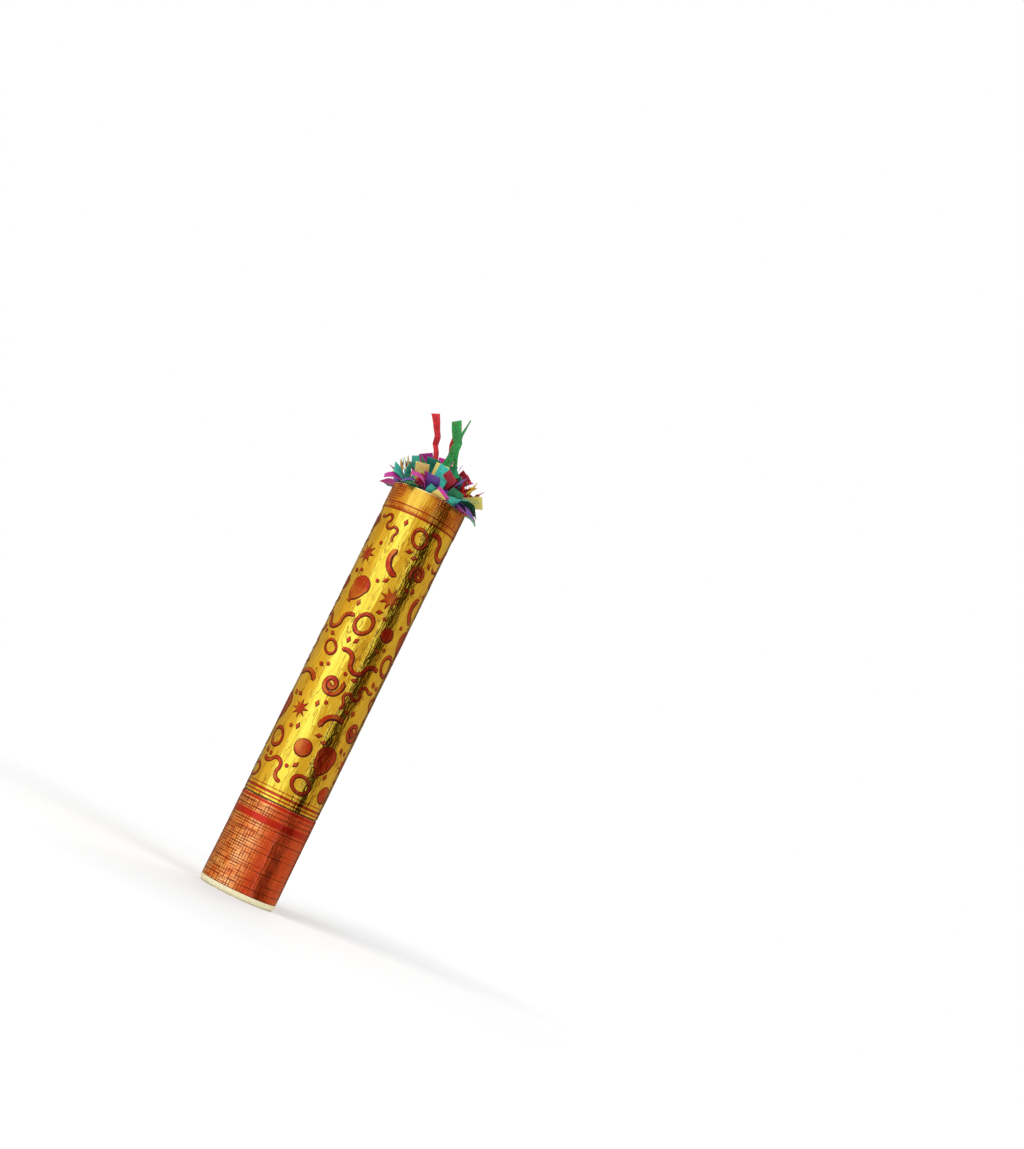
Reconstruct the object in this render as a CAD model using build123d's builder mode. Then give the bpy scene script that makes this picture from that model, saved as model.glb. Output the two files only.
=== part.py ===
from build123d import *
import math
import os

os.makedirs("parts", exist_ok=True)

# Confetti popper: a card barrel that turns on a short grip. The turn lifts a bung out of the air bottle in
# the grip, and the air drives a wad and a load of paper out of the mouth.
# Origin: centre of the base, on the surface it stands on. +Z runs up the barrel.

# Driving dimensions, in millimetres and degrees

# Tubes, skins and the seam between grip and barrel
tube_length = 280.0
outer_diameter = 51.0
film_thickness = 0.25
glue_line = 0.05
tube_wall = 1.7
grip_height = 58.0
washer_thickness = 0.8
washer_inset = 0.6
band_height = 18.0
band_thickness = 0.2
band_inset = 0.1

# Base cap
rim_height = 4.0
rim_round = 2.4
spigot_height = 12.0
foot_ring_width = 6.0
foot_recess = 1.2
charging_hole_diameter = 6.0

# Coupler between grip and barrel, and the ring that keeps the barrel on it
sleeve_wall = 2.35
coupler_depth = 32.0
running_clearance = 0.15
groove_offset = 2.0
groove_height = 6.0
groove_depth = 1.05
lip_height = 8.0
ring_play = 0.6
ring_gap_angle = 24.0

# Air bottle and the pieces on it
bottle_body_height = 58.0
bottle_shoulder_height = 14.0
bottle_neck_height = 10.0
bottle_neck_diameter = 18.0
bottle_wall = 0.8
bottle_lip_width = 1.2
bottle_lip_height = 2.0
bottle_foot_round = 3.0
punt_height = 5.0
band_rubber_thickness = 1.5
lower_band_height = 6.0
lower_band_lift = 4.0
upper_band_height = 10.0
upper_band_drop = 8.0
valve_diameter = 4.4
valve_flange_width = 2.6
valve_flange_thickness = 1.6

# Valve tower, its gasket and its crimp ferrule
gasket_thickness = 0.8
tower_bore = 10.0
tower_diameter = 16.0
tower_insert_depth = 12.0
tower_flange_height = 2.0
tower_slot_foot = 2.2
tower_slot_clearance = 0.3
tower_head = 1.5
ferrule_wall = 0.6
ferrule_clearance = 0.1

# Bung
bung_lift = 10.0
bung_clearance = 0.15
bung_foot = 3.5
bung_head = 4.0
seal_drop = 3.0
seal_section = 1.8
seal_clearance = 0.05
pin_diameter = 2.8
pin_tip_inset = 0.3

# Cam sleeve and bulkhead
twist_angle = 60.0
cam_gap = 0.9
cam_clearance = 0.2
cam_wall = 2.8
cam_end_wall = 2.7
cam_slot_height = 4.8
cam_slot_overrun = 12.0
cam_flange_width = 2.5
cam_flange_height = 1.4
web_thickness = 3.0
skirt_gap = 8.6
skirt_wall = 1.75
vent_diameter = 4.4
vent_count = 6

# Load
load_clearance = 0.3
seat_gap = 0.3
wad_board_thickness = 2.0
wad_foam_thickness = 6.0
roll_height = 18.0
roll_core_diameter = 5.0
roll_count = 3
crown_drop = 6.0
crown_height = 10.0
paper_thickness = 0.35
bed_depth = 3.0
bed_clearance = 0.1
slip_width = 9.0
slip_length = 19.0
slip_spacing = 1.8
ring_stagger = 0.9
star_diameter = 14.0
star_waist = 0.42
streamer_width = 7.0
streamer_length = 58.0
crinkle_pitch = 5.2
crinkle_depth = 1.5

# Sizes that follow from those

outer_r = outer_diameter / 2
film_r = outer_r - film_thickness
tube_r = film_r - glue_line
bore_r = tube_r - tube_wall
seam_z = rim_height + grip_height
barrel_z = seam_z + washer_thickness

sleeve_r = bore_r - glue_line
sleeve_inner_r = sleeve_r - sleeve_wall
coupler_r = bore_r - running_clearance
groove_r = coupler_r - groove_depth
groove_z = seam_z + groove_offset
coupler_lip_z = groove_z + groove_height
coupler_top_z = coupler_lip_z + lip_height

bottle_r = sleeve_inner_r - band_rubber_thickness - 2 * glue_line
bottle_inner_r = bottle_r - bottle_wall
neck_r = bottle_neck_diameter / 2
neck_inner_r = neck_r - bottle_wall
lip_r = neck_r + bottle_lip_width
shoulder_z = rim_height + bottle_body_height
neck_z = shoulder_z + bottle_shoulder_height
neck_top_z = neck_z + bottle_neck_height
valve_r = valve_diameter / 2

tower_r = tower_diameter / 2
tower_bore_r = tower_bore / 2
tower_flange_z = neck_top_z + gasket_thickness
tower_flange_top_z = tower_flange_z + tower_flange_height
ferrule_top_z = tower_flange_top_z + ferrule_clearance + ferrule_wall

pin_r = pin_diameter / 2
cam_inner_r = tower_r + cam_clearance
cam_r = cam_inner_r + cam_wall
cam_foot_z = ferrule_top_z + cam_gap
overrun_rise = bung_lift * cam_slot_overrun / twist_angle
pin_z = cam_foot_z + cam_end_wall + cam_slot_height / 2 + overrun_rise
cam_slot_top_z = pin_z + bung_lift + overrun_rise + cam_slot_height / 2
web_top_z = cam_slot_top_z + cam_end_wall
skirt_length = web_top_z - coupler_top_z - skirt_gap
cam_top_z = web_top_z + cam_flange_height
seal_z = neck_top_z - seal_drop
stem_r = tower_bore_r - bung_clearance
seal_r = tower_bore_r - seal_clearance - seal_section / 2

load_r = bore_r - load_clearance
wad_z = cam_top_z + seat_gap
foam_z = wad_z + wad_board_thickness
rolls_z = foam_z + wad_foam_thickness
pack_z = rolls_z + roll_height
crown_edge_z = tube_length - crown_drop
crown_top_z = crown_edge_z + crown_height
crown_ball_r = (load_r**2 + crown_height**2) / (2 * crown_height)


# Base cap: a rim that closes the tube, a spigot glued inside it, and a foot ring round a shallow recess
with BuildPart() as base_cap:
    with BuildSketch(Plane.XY):
        Circle(outer_r)
    extrude(amount=rim_height)
    fillet(base_cap.faces().sort_by(Axis.Z)[0].edges(), rim_round)
    with BuildSketch(Plane.XY.offset(rim_height)):
        Circle(sleeve_r)
        Circle(sleeve_inner_r, mode=Mode.SUBTRACT)
    extrude(amount=spigot_height)
    with BuildSketch(Plane.XY):
        Circle(outer_r - rim_round - foot_ring_width)
    extrude(amount=foot_recess, mode=Mode.SUBTRACT)
    with BuildSketch(Plane.XY):
        Circle(charging_hole_diameter / 2)
    extrude(amount=rim_height, mode=Mode.SUBTRACT)

# Grip: a card tube under a printed film
with BuildPart() as grip_tube:
    with BuildSketch(Plane.XY.offset(rim_height)):
        Circle(tube_r)
        Circle(bore_r, mode=Mode.SUBTRACT)
    extrude(amount=grip_height)

with BuildPart() as grip_film:
    with BuildSketch(Plane.XY.offset(rim_height)):
        Circle(outer_r)
        Circle(film_r, mode=Mode.SUBTRACT)
    extrude(amount=grip_height)

# Slip washer: the barrel stands and turns on it, set in from the outside so that the seam is a dark groove
with BuildPart() as slip_washer:
    with BuildSketch(Plane.XY.offset(seam_z)):
        Circle(outer_r - washer_inset)
        Circle(bore_r + glue_line, mode=Mode.SUBTRACT)
    extrude(amount=washer_thickness)

# Coupler: glued into the grip, with a grooved neck that the barrel turns on
with BuildPart() as coupler:
    with BuildSketch(Plane.XZ):
        with BuildLine():
            Polyline(
                (sleeve_inner_r, seam_z - coupler_depth),
                (sleeve_r, seam_z - coupler_depth),
                (sleeve_r, seam_z),
                (coupler_r, seam_z),
                (coupler_r, groove_z),
                (groove_r, groove_z),
                (groove_r, coupler_lip_z),
                (coupler_r, coupler_lip_z),
                (coupler_r, coupler_top_z),
                (sleeve_inner_r, coupler_top_z),
                close=True,
            )
        make_face()
    revolve(axis=Axis.Z)
    top_edges = coupler.edges().filter_by(GeomType.CIRCLE).group_by(Axis.Z)[-1]
    chamfer(top_edges.sort_by(SortBy.RADIUS)[-1], lip_height / 8)

# Air bottle: a spun aluminium shell with a punt, a drawn neck and a rolled lip
foot_r = bottle_r - bottle_foot_round
inner_foot_round = bottle_foot_round - bottle_wall
shoulder_mid_z = shoulder_z + bottle_shoulder_height / 2
with BuildPart() as air_bottle:
    with BuildSketch(Plane.XZ):
        with BuildLine():
            ThreePointArc(
                (valve_r, rim_height + punt_height),
                (foot_r * 0.6, rim_height + punt_height * 0.72),
                (foot_r, rim_height),
            )
            RadiusArc((foot_r, rim_height), (bottle_r, rim_height + bottle_foot_round), -bottle_foot_round)
            Line((bottle_r, rim_height + bottle_foot_round), (bottle_r, shoulder_z))
            Bezier(
                (bottle_r, shoulder_z),
                (bottle_r, shoulder_mid_z),
                (neck_r, shoulder_mid_z),
                (neck_r, neck_z),
            )
            Polyline(
                (neck_r, neck_z),
                (neck_r, neck_top_z - bottle_lip_height),
                (lip_r, neck_top_z - bottle_lip_height),
                (lip_r, neck_top_z),
                (neck_inner_r, neck_top_z),
                (neck_inner_r, neck_z - bottle_wall),
            )
            Bezier(
                (neck_inner_r, neck_z - bottle_wall),
                (neck_inner_r, shoulder_mid_z - bottle_wall),
                (bottle_inner_r, shoulder_mid_z - bottle_wall),
                (bottle_inner_r, shoulder_z - bottle_wall),
            )
            Line(
                (bottle_inner_r, shoulder_z - bottle_wall),
                (bottle_inner_r, rim_height + bottle_foot_round),
            )
            RadiusArc(
                (bottle_inner_r, rim_height + bottle_foot_round),
                (foot_r, rim_height + bottle_wall),
                inner_foot_round,
            )
            ThreePointArc(
                (foot_r, rim_height + bottle_wall),
                (foot_r * 0.6, rim_height + punt_height * 0.72 + bottle_wall),
                (valve_r, rim_height + punt_height + bottle_wall),
            )
            Line((valve_r, rim_height + punt_height + bottle_wall), (valve_r, rim_height + punt_height))
        make_face()
    revolve(axis=Axis.Z)

# Fill valve: a rubber plug through the punt, with a flange inside and a bead below
punt_top_z = rim_height + punt_height + bottle_wall
with BuildPart() as fill_valve:
    with BuildSketch(Plane.XZ):
        with BuildLine():
            Polyline(
                (0, rim_height + glue_line),
                (valve_r - glue_line, rim_height + glue_line),
                (valve_r - glue_line, punt_top_z + glue_line),
                (valve_r + valve_flange_width, punt_top_z + glue_line),
                (valve_r + valve_flange_width, punt_top_z + glue_line + valve_flange_thickness),
                (0, punt_top_z + glue_line + valve_flange_thickness),
                close=True,
            )
        make_face()
    revolve(axis=Axis.Z)

# Two rubber bands hold the bottle in the spigot and in the coupler
with BuildPart() as bottle_bands:
    with BuildSketch(Plane.XY.offset(rim_height + lower_band_lift)):
        Circle(sleeve_inner_r - glue_line)
        Circle(bottle_r + glue_line, mode=Mode.SUBTRACT)
    extrude(amount=lower_band_height)
    with BuildSketch(Plane.XY.offset(shoulder_z - upper_band_drop)):
        Circle(sleeve_inner_r - glue_line)
        Circle(bottle_r + glue_line, mode=Mode.SUBTRACT)
    extrude(amount=-upper_band_height)

# Gasket, valve tower and crimp ferrule on the bottle's neck
with BuildPart() as neck_gasket:
    with BuildSketch(Plane.XY.offset(neck_top_z)):
        Circle(lip_r)
        Circle(neck_inner_r, mode=Mode.SUBTRACT)
    extrude(amount=gasket_thickness)

tower_slot_z = tower_flange_top_z + tower_slot_foot
tower_slot_top_z = pin_z + bung_lift + pin_r + tower_slot_clearance
tower_top_z = tower_slot_top_z + tower_head
with BuildPart() as valve_tower:
    with BuildSketch(Plane.XY.offset(tower_flange_z)):
        Circle(lip_r)
    extrude(amount=tower_flange_height)
    with BuildSketch(Plane.XY.offset(tower_flange_z)):
        Circle(neck_inner_r - ferrule_clearance)
    extrude(amount=-(tower_insert_depth + gasket_thickness))
    with BuildSketch(Plane.XY.offset(tower_flange_top_z)):
        Circle(tower_r)
    extrude(amount=tower_top_z - tower_flange_top_z)
    with BuildSketch(Plane.XY.offset(tower_top_z)):
        Circle(tower_bore_r)
    extrude(amount=-(tower_top_z - neck_top_z + tower_insert_depth), mode=Mode.SUBTRACT)
    with BuildSketch(Plane.YZ):
        with Locations((0, (tower_slot_z + tower_slot_top_z) / 2)):
            SlotOverall(
                tower_slot_top_z - tower_slot_z, pin_diameter + 2 * tower_slot_clearance, rotation=90
            )
    extrude(amount=tower_diameter, both=True, mode=Mode.SUBTRACT)

ferrule_r = lip_r + ferrule_clearance
ferrule_foot_z = neck_top_z - bottle_lip_height - ferrule_clearance
with BuildPart() as crimp_ferrule:
    with BuildSketch(Plane.XZ):
        with BuildLine():
            Polyline(
                (neck_r + ferrule_clearance, ferrule_foot_z - ferrule_wall),
                (ferrule_r + ferrule_wall, ferrule_foot_z - ferrule_wall),
                (ferrule_r + ferrule_wall, ferrule_top_z),
                (tower_r + ferrule_clearance, ferrule_top_z),
                (tower_r + ferrule_clearance, ferrule_top_z - ferrule_wall),
                (ferrule_r, ferrule_top_z - ferrule_wall),
                (ferrule_r, ferrule_foot_z),
                (neck_r + ferrule_clearance, ferrule_foot_z),
                close=True,
            )
        make_face()
    revolve(axis=Axis.Z)
    fillet(
        crimp_ferrule.edges().filter_by(GeomType.CIRCLE).sort_by(SortBy.RADIUS)[-2:], ferrule_wall * 0.7
    )

# Bung: a stem with its O-ring, and a cross pin that runs in the tower's slots and the cam sleeve's slots
seal_half = seal_section / 2 + seal_clearance
with BuildPart() as bung_stem:
    with BuildSketch(Plane.XZ):
        with BuildLine():
            Polyline(
                (0, seal_z - bung_foot),
                (stem_r, seal_z - bung_foot),
                (stem_r, seal_z - seal_half),
                (seal_r - seal_half, seal_z - seal_half),
                (seal_r - seal_half, seal_z + seal_half),
                (stem_r, seal_z + seal_half),
                (stem_r, pin_z + bung_head),
                (0, pin_z + bung_head),
                close=True,
            )
        make_face()
    revolve(axis=Axis.Z)
    chamfer(bung_stem.faces().sort_by(Axis.Z)[-1].edges(), bung_head / 5)
    with BuildSketch(Plane.YZ):
        with Locations((0, pin_z)):
            Circle(pin_r + glue_line)
    extrude(amount=tower_diameter, both=True, mode=Mode.SUBTRACT)

with BuildPart() as bung_seal:
    with BuildSketch(Plane.XZ):
        with Locations((seal_r, seal_z)):
            Circle(seal_section / 2)
    revolve(axis=Axis.Z)

with BuildPart() as cross_pin:
    with BuildSketch(Plane.YZ):
        with Locations((0, pin_z)):
            Circle(pin_r)
    extrude(amount=cam_r - pin_tip_inset, both=True)

# Barrel: a card tube under a printed film, with a band round the mouth
barrel_height = tube_length - barrel_z
with BuildPart() as barrel_tube:
    with BuildSketch(Plane.XY.offset(barrel_z)):
        Circle(tube_r)
        Circle(bore_r, mode=Mode.SUBTRACT)
    extrude(amount=barrel_height)

with BuildPart() as barrel_film:
    with BuildSketch(Plane.XY.offset(barrel_z)):
        Circle(outer_r)
        Circle(film_r, mode=Mode.SUBTRACT)
    extrude(amount=barrel_height)

with BuildPart() as muzzle_band:
    with BuildSketch(Plane.XY.offset(tube_length - band_inset)):
        Circle(outer_r + glue_line + band_thickness)
        Circle(outer_r + glue_line, mode=Mode.SUBTRACT)
    extrude(amount=-(band_height - band_inset))

# Retaining ring: split, glued into the barrel and held in the coupler's groove
ring_gap = 2 * groove_r * math.sin(math.radians(ring_gap_angle / 2))
with BuildPart() as retaining_ring:
    with BuildSketch(Plane.XY.offset(groove_z + ring_play)):
        Circle(sleeve_r)
        Circle(groove_r + running_clearance, mode=Mode.SUBTRACT)
        with PolarLocations(groove_r, 1):
            Rectangle(sleeve_wall * 4, ring_gap, mode=Mode.SUBTRACT)
    extrude(amount=groove_height - 2 * ring_play)

# Bulkhead: a vented web on a skirt, glued into the barrel
vent_circle_r = (cam_r + cam_flange_width + sleeve_r - skirt_wall) / 2
with BuildPart() as bulkhead:
    with BuildSketch(Plane.XY.offset(web_top_z)):
        Circle(sleeve_r)
        Circle(cam_r + glue_line, mode=Mode.SUBTRACT)
        with PolarLocations(vent_circle_r, vent_count):
            Circle(vent_diameter / 2, mode=Mode.SUBTRACT)
    extrude(amount=-web_thickness)
    with BuildSketch(Plane.XY.offset(web_top_z - web_thickness)):
        Circle(sleeve_r)
        Circle(sleeve_r - skirt_wall, mode=Mode.SUBTRACT)
    extrude(amount=-(skirt_length - web_thickness))

# Cam sleeve: two helical slots, half a turn apart, lift the cross pin as the barrel turns
slot_rise = bung_lift + 2 * overrun_rise
slot_sweep = twist_angle + 2 * cam_slot_overrun
slot_start_z = pin_z - overrun_rise
with BuildLine() as slot_path:
    Helix(
        pitch=slot_rise * 360 / slot_sweep,
        height=slot_rise,
        radius=(cam_inner_r + cam_r) / 2,
        center=(0, 0, slot_start_z),
        lefthand=True,
    )

with BuildPart() as cam_sleeve:
    with BuildSketch(Plane.XY.offset(cam_foot_z)):
        Circle(cam_r)
    extrude(amount=cam_top_z - cam_foot_z)
    with BuildSketch(Plane.XY.offset(web_top_z)):
        Circle(cam_r + cam_flange_width)
    extrude(amount=cam_flange_height)
    with BuildSketch(Plane.XY.offset(cam_foot_z)):
        Circle(cam_inner_r)
    extrude(amount=cam_top_z - cam_foot_z, mode=Mode.SUBTRACT)
    for side in (0, 180):
        slot_line = slot_path.line.rotate(Axis.Z, cam_slot_overrun + side)
        across = Plane.XZ.rotated((0, 0, cam_slot_overrun + side))
        start = Plane(origin=slot_line @ 0, x_dir=across.x_dir, z_dir=across.z_dir)
        with BuildSketch(start):
            Rectangle(cam_wall * 2, cam_slot_height)
        sweep(path=slot_line, is_frenet=True, mode=Mode.SUBTRACT)

# Wad: a board and a foam disc, the piston under the load
with BuildPart() as wad_board:
    with BuildSketch(Plane.XY.offset(wad_z)):
        Circle(load_r)
    extrude(amount=wad_board_thickness)

with BuildPart() as wad_foam:
    with BuildSketch(Plane.XY.offset(foam_z)):
        Circle(load_r)
    extrude(amount=wad_foam_thickness)

# Wound streamers: rolls that fill the bore side by side on the wad
roll_spread = 1 / math.sin(math.pi / roll_count)
roll_r = (load_r - load_clearance) / (1 + roll_spread) - glue_line
with BuildPart() as streamer_rolls:
    with BuildSketch(Plane.XY.offset(rolls_z)):
        with PolarLocations((roll_r + glue_line) * roll_spread, roll_count):
            Circle(roll_r)
            Circle(roll_core_diameter / 2, mode=Mode.SUBTRACT)
    extrude(amount=roll_height)


# Loose paper stands in the crown of the packed confetti in rings, each piece leaning outwards.
# A place is a plane on the piece: X across it, Y up it from its foot, Z through it.
def place_in_crown(ring_r, azimuth, lean, tilt):
    crown_z = crown_top_z - crown_ball_r + math.sqrt(crown_ball_r**2 - ring_r**2)
    flat = Plane(origin=(0, 0, 0), x_dir=(0, 1, 0), z_dir=(1, 0, 0))
    leaning = flat.rotated((0, lean, 0))
    turned = leaning.rotated((0, 0, azimuth))
    foot = Vector(
        ring_r * math.cos(math.radians(azimuth)), ring_r * math.sin(math.radians(azimuth)), crown_z
    )
    up = turned.y_dir
    x_dir = turned.x_dir.rotate(Axis((0, 0, 0), turned.z_dir), tilt)
    return Plane(origin=foot - up * bed_depth, x_dir=x_dir, z_dir=turned.z_dir)


# Each ring: its radius as a share of the load's, its lean, and what stands in it, in order round the ring.
# An even number of pieces goes round, staggered in and out, so that neighbours pass each other.
rings = (
    (0.20, 7.0, ("streamer_green", "streamer_red")),
    (0.46, 13.0, ("yellow", "streamer_red", "teal", "magenta", "streamer_green", "red")),
    (0.67, 14.0, ("green", "purple", "yellow", "red", "teal", "magenta", "star", "purple")),
    (0.86, 12.0, ("red", "star", "green", "yellow", "purple", "star", "teal", "green", "star", "magenta")),
)
places = {}
for ring_index, (ring_share, ring_lean, ring_kinds) in enumerate(rings):
    ring_r = ring_share * load_r
    pairs = int(math.pi * ring_r / (slip_width + slip_spacing))
    count = max(2 * pairs, 2)
    for k in range(count):
        wobble = math.sin(2.4 * k + 1.3 * ring_index)
        stagger = ring_stagger * (-1) ** k
        azimuth = 360 * k / count + 17 * ring_index
        place = place_in_crown(ring_r + stagger, azimuth, ring_lean + 2 * wobble, 9 * wobble)
        places.setdefault(ring_kinds[k % len(ring_kinds)], []).append(place)


def slip_outline(grow=0.0):
    half = slip_width / 2 + grow
    return [(-half, -grow), (half, -grow), (half, slip_length + grow), (-half, slip_length + grow)]


def star_outline(grow=0.0):
    tips = []
    for k in range(10):
        tip_r = star_diameter / 2 + grow
        if k % 2:
            tip_r = star_waist * star_diameter / 2 + grow
        angle = math.radians(90 + 36 * k)
        tips.append((tip_r * math.cos(angle), star_diameter / 2 + tip_r * math.sin(angle)))
    return tips


# A streamer is drawn edge on: straight where it is bedded, then crinkled
def streamer_outline(grow=0.0):
    half = paper_thickness / 2 + grow
    folds = int((streamer_length - bed_depth * 2) / crinkle_pitch)
    line = [(0, -grow), (0, bed_depth * 2)]
    for k in range(folds):
        depth = crinkle_depth * (0.65 + 0.35 * math.sin(1.9 * k))
        line.append((depth * (-1) ** k, bed_depth * 2 + crinkle_pitch * (k + 0.5)))
    left = [(x - half, y) for x, y in line]
    right = [(x + half, y) for x, y in reversed(line)]
    return left + right


def edge_on(place):
    return Plane(origin=place.origin, x_dir=place.z_dir, z_dir=-place.x_dir)


# Packed confetti: the bulk of the load, with a domed crown and a bed for each loose piece
with BuildPart() as confetti_pack:
    with BuildSketch(Plane.XZ):
        with BuildLine():
            Polyline((0, crown_top_z), (0, pack_z), (load_r, pack_z), (load_r, crown_edge_z))
            RadiusArc((load_r, crown_edge_z), (0, crown_top_z), -crown_ball_r)
        make_face()
    revolve(axis=Axis.Z)
    for kind, kind_places in places.items():
        for place in kind_places:
            if kind.startswith("streamer"):
                with BuildSketch(edge_on(place)):
                    Polygon(streamer_outline(bed_clearance), align=None)
                extrude(amount=streamer_width / 2 + bed_clearance, both=True, mode=Mode.SUBTRACT)
            elif kind == "star":
                with BuildSketch(place):
                    Polygon(star_outline(bed_clearance), align=None)
                extrude(amount=paper_thickness / 2 + bed_clearance, both=True, mode=Mode.SUBTRACT)
            else:
                with BuildSketch(place):
                    Polygon(slip_outline(bed_clearance), align=None)
                extrude(amount=paper_thickness / 2 + bed_clearance, both=True, mode=Mode.SUBTRACT)

# Loose paper: slips by colour, foil stars, and crinkled streamers
slips = {}
for colour in ("red", "yellow", "green", "teal", "purple", "magenta"):
    with BuildPart() as slip_set:
        for place in places[colour]:
            with BuildSketch(place):
                Polygon(slip_outline(), align=None)
            extrude(amount=paper_thickness / 2, both=True)
    slips[colour] = slip_set

with BuildPart() as foil_stars:
    for place in places["star"]:
        with BuildSketch(place):
            Polygon(star_outline(), align=None)
        extrude(amount=paper_thickness / 2, both=True)

streamers = {}
for colour in ("green", "red"):
    with BuildPart() as streamer_set:
        for place in places["streamer_" + colour]:
            with BuildSketch(edge_on(place)):
                Polygon(streamer_outline(), align=None)
            extrude(amount=streamer_width / 2, both=True)
    streamers[colour] = streamer_set

# Write each piece
pieces = {
    "base_cap": base_cap,
    "grip_tube": grip_tube,
    "grip_film": grip_film,
    "slip_washer": slip_washer,
    "coupler": coupler,
    "air_bottle": air_bottle,
    "fill_valve": fill_valve,
    "bottle_bands": bottle_bands,
    "neck_gasket": neck_gasket,
    "valve_tower": valve_tower,
    "crimp_ferrule": crimp_ferrule,
    "bung_stem": bung_stem,
    "bung_seal": bung_seal,
    "cross_pin": cross_pin,
    "barrel_tube": barrel_tube,
    "barrel_film": barrel_film,
    "muzzle_band": muzzle_band,
    "retaining_ring": retaining_ring,
    "bulkhead": bulkhead,
    "cam_sleeve": cam_sleeve,
    "wad_board": wad_board,
    "wad_foam": wad_foam,
    "streamer_rolls": streamer_rolls,
    "confetti_pack": confetti_pack,
    "foil_stars": foil_stars,
}
for colour, slip_set in slips.items():
    pieces["slips_" + colour] = slip_set
for colour, streamer_set in streamers.items():
    pieces["streamers_" + colour] = streamer_set

for name, piece in pieces.items():
    piece.part.label = name
    export_step(piece.part, f"parts/{name}.step")
    print(name, len(piece.part.solids()), round(piece.part.volume, 2))
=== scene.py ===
# %% [markdown]
# # A confetti popper
# This lesson dresses a twist-to-fire confetti popper. The card tubes, the air bottle and the release
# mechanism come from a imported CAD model, and stay where they are. Blender adds what CAD leaves plain: the
# shiny printed films, the loose paper in the mouth, and a finish for every piece. All lengths are metres,
# so `mm` turns millimetres into them.

# %% Load the frame
import math
import random

import bpy
from mathutils import Matrix, Vector
from mathutils.bvhtree import BVHTree
from mathutils.kdtree import KDTree


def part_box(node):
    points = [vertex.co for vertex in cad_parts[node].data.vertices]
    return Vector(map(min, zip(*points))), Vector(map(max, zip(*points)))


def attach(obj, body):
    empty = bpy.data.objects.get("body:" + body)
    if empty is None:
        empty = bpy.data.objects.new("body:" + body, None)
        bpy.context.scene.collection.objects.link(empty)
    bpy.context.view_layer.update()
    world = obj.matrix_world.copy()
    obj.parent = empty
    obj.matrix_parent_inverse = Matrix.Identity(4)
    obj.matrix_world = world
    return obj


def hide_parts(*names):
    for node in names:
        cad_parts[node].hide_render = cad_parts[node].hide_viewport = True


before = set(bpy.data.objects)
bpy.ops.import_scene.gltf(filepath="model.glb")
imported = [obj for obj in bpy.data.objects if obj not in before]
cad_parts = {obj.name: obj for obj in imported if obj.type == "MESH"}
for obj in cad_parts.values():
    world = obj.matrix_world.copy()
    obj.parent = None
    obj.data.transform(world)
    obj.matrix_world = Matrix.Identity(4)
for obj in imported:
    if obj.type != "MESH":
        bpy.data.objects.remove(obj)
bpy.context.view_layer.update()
mm = 0.001

# %% [markdown]
# ## The camera
# The photograph shows the popper leaning to the right. The model stands upright on its base, so here the
# camera is rolled instead. A camera looks along its own -Z, so its matrix is built from three directions:
# right, up and back.

# %% Camera
eye = Vector((0.0, -1.1, 0.09))
aim = Vector((0.0698, 0.0, 0.2602))
roll = math.radians(25.59)
lens_mm, sensor_mm = 53.37, 36.0

forward = (aim - eye).normalized()
level = forward.cross(Vector((0, 0, 1))).normalized()
upright = level.cross(forward)
right = level * math.cos(roll) + upright * math.sin(roll)
up = upright * math.cos(roll) - level * math.sin(roll)

bpy.ops.object.select_all(action="DESELECT")
bpy.ops.object.camera_add()
camera = bpy.context.object
camera.name = "photo_camera"
camera.matrix_world = Matrix.Translation(eye) @ Matrix((right, up, -forward)).transposed().to_4x4()
camera.data.lens = lens_mm
camera.data.sensor_fit = "VERTICAL"
camera.data.sensor_height = sensor_mm
camera.data.clip_start = 0.01
bpy.context.scene.camera = camera
print("Camera distance in m:", round((aim - eye).length, 3))

# %% [markdown]
# ## Small helpers
# Colours are written as the hex values that a paint chart gives, and a shader wants linear light, so one
# function converts them. Another adds a node with its settings and its links, and every finish below is
# built from it. A Mix node uses the same names for numbers and for colours, so its sockets are given by
# number: 0 is the share, 6 and 7 are the two colours, and output 2 is what they mix to.

# %% Helpers for colours and nodes
def paint(hex_colour):
    channels = [int(hex_colour[k:k + 2], 16) / 255 for k in (1, 3, 5)]
    linear = [c / 12.92 if c <= 0.04045 else ((c + 0.055) / 1.055) ** 2.4 for c in channels]
    return (*linear, 1.0)


def add(tree, kind, sockets=None, stops=(), **settings):
    """Add a node. A socket takes a value or another node's output, and stops are a ramp's colours."""
    made = tree.nodes.new(kind)
    for name, value in settings.items():
        setattr(made, name, value)
    for name, value in (sockets or {}).items():
        if isinstance(value, bpy.types.NodeSocket):
            tree.links.new(value, made.inputs[name])
        else:
            made.inputs[name].default_value = value
    for k, (place, colour) in enumerate(stops):
        element = made.color_ramp.elements[k] if k < 2 else made.color_ramp.elements.new(place)
        element.position = place
        element.color = paint(colour)
    return made


print("Mid grey in linear light:", round(paint("#808080")[0], 3))

# %% [markdown]
# A finish starts from an empty node tree with a shader and an output. The plainer ones share a recipe, in
# which one noise of the right grain drives colour, roughness and relief.

# %% Helpers for finishes
def bare_tree(owner):
    owner.use_nodes = True
    owner.node_tree.nodes.clear()
    return owner.node_tree


def new_finish(name, **sockets):
    """Start a material. A socket's name has _ for its spaces, as in Coat_Weight."""
    finish = bpy.data.materials.new(name)
    tree = bare_tree(finish)
    values = {key.replace("_", " "): value for key, value in sockets.items()}
    shader = add(tree, "ShaderNodeBsdfPrincipled", values)
    add(tree, "ShaderNodeOutputMaterial", {"Surface": shader.outputs["BSDF"]})
    return finish, tree, shader


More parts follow.
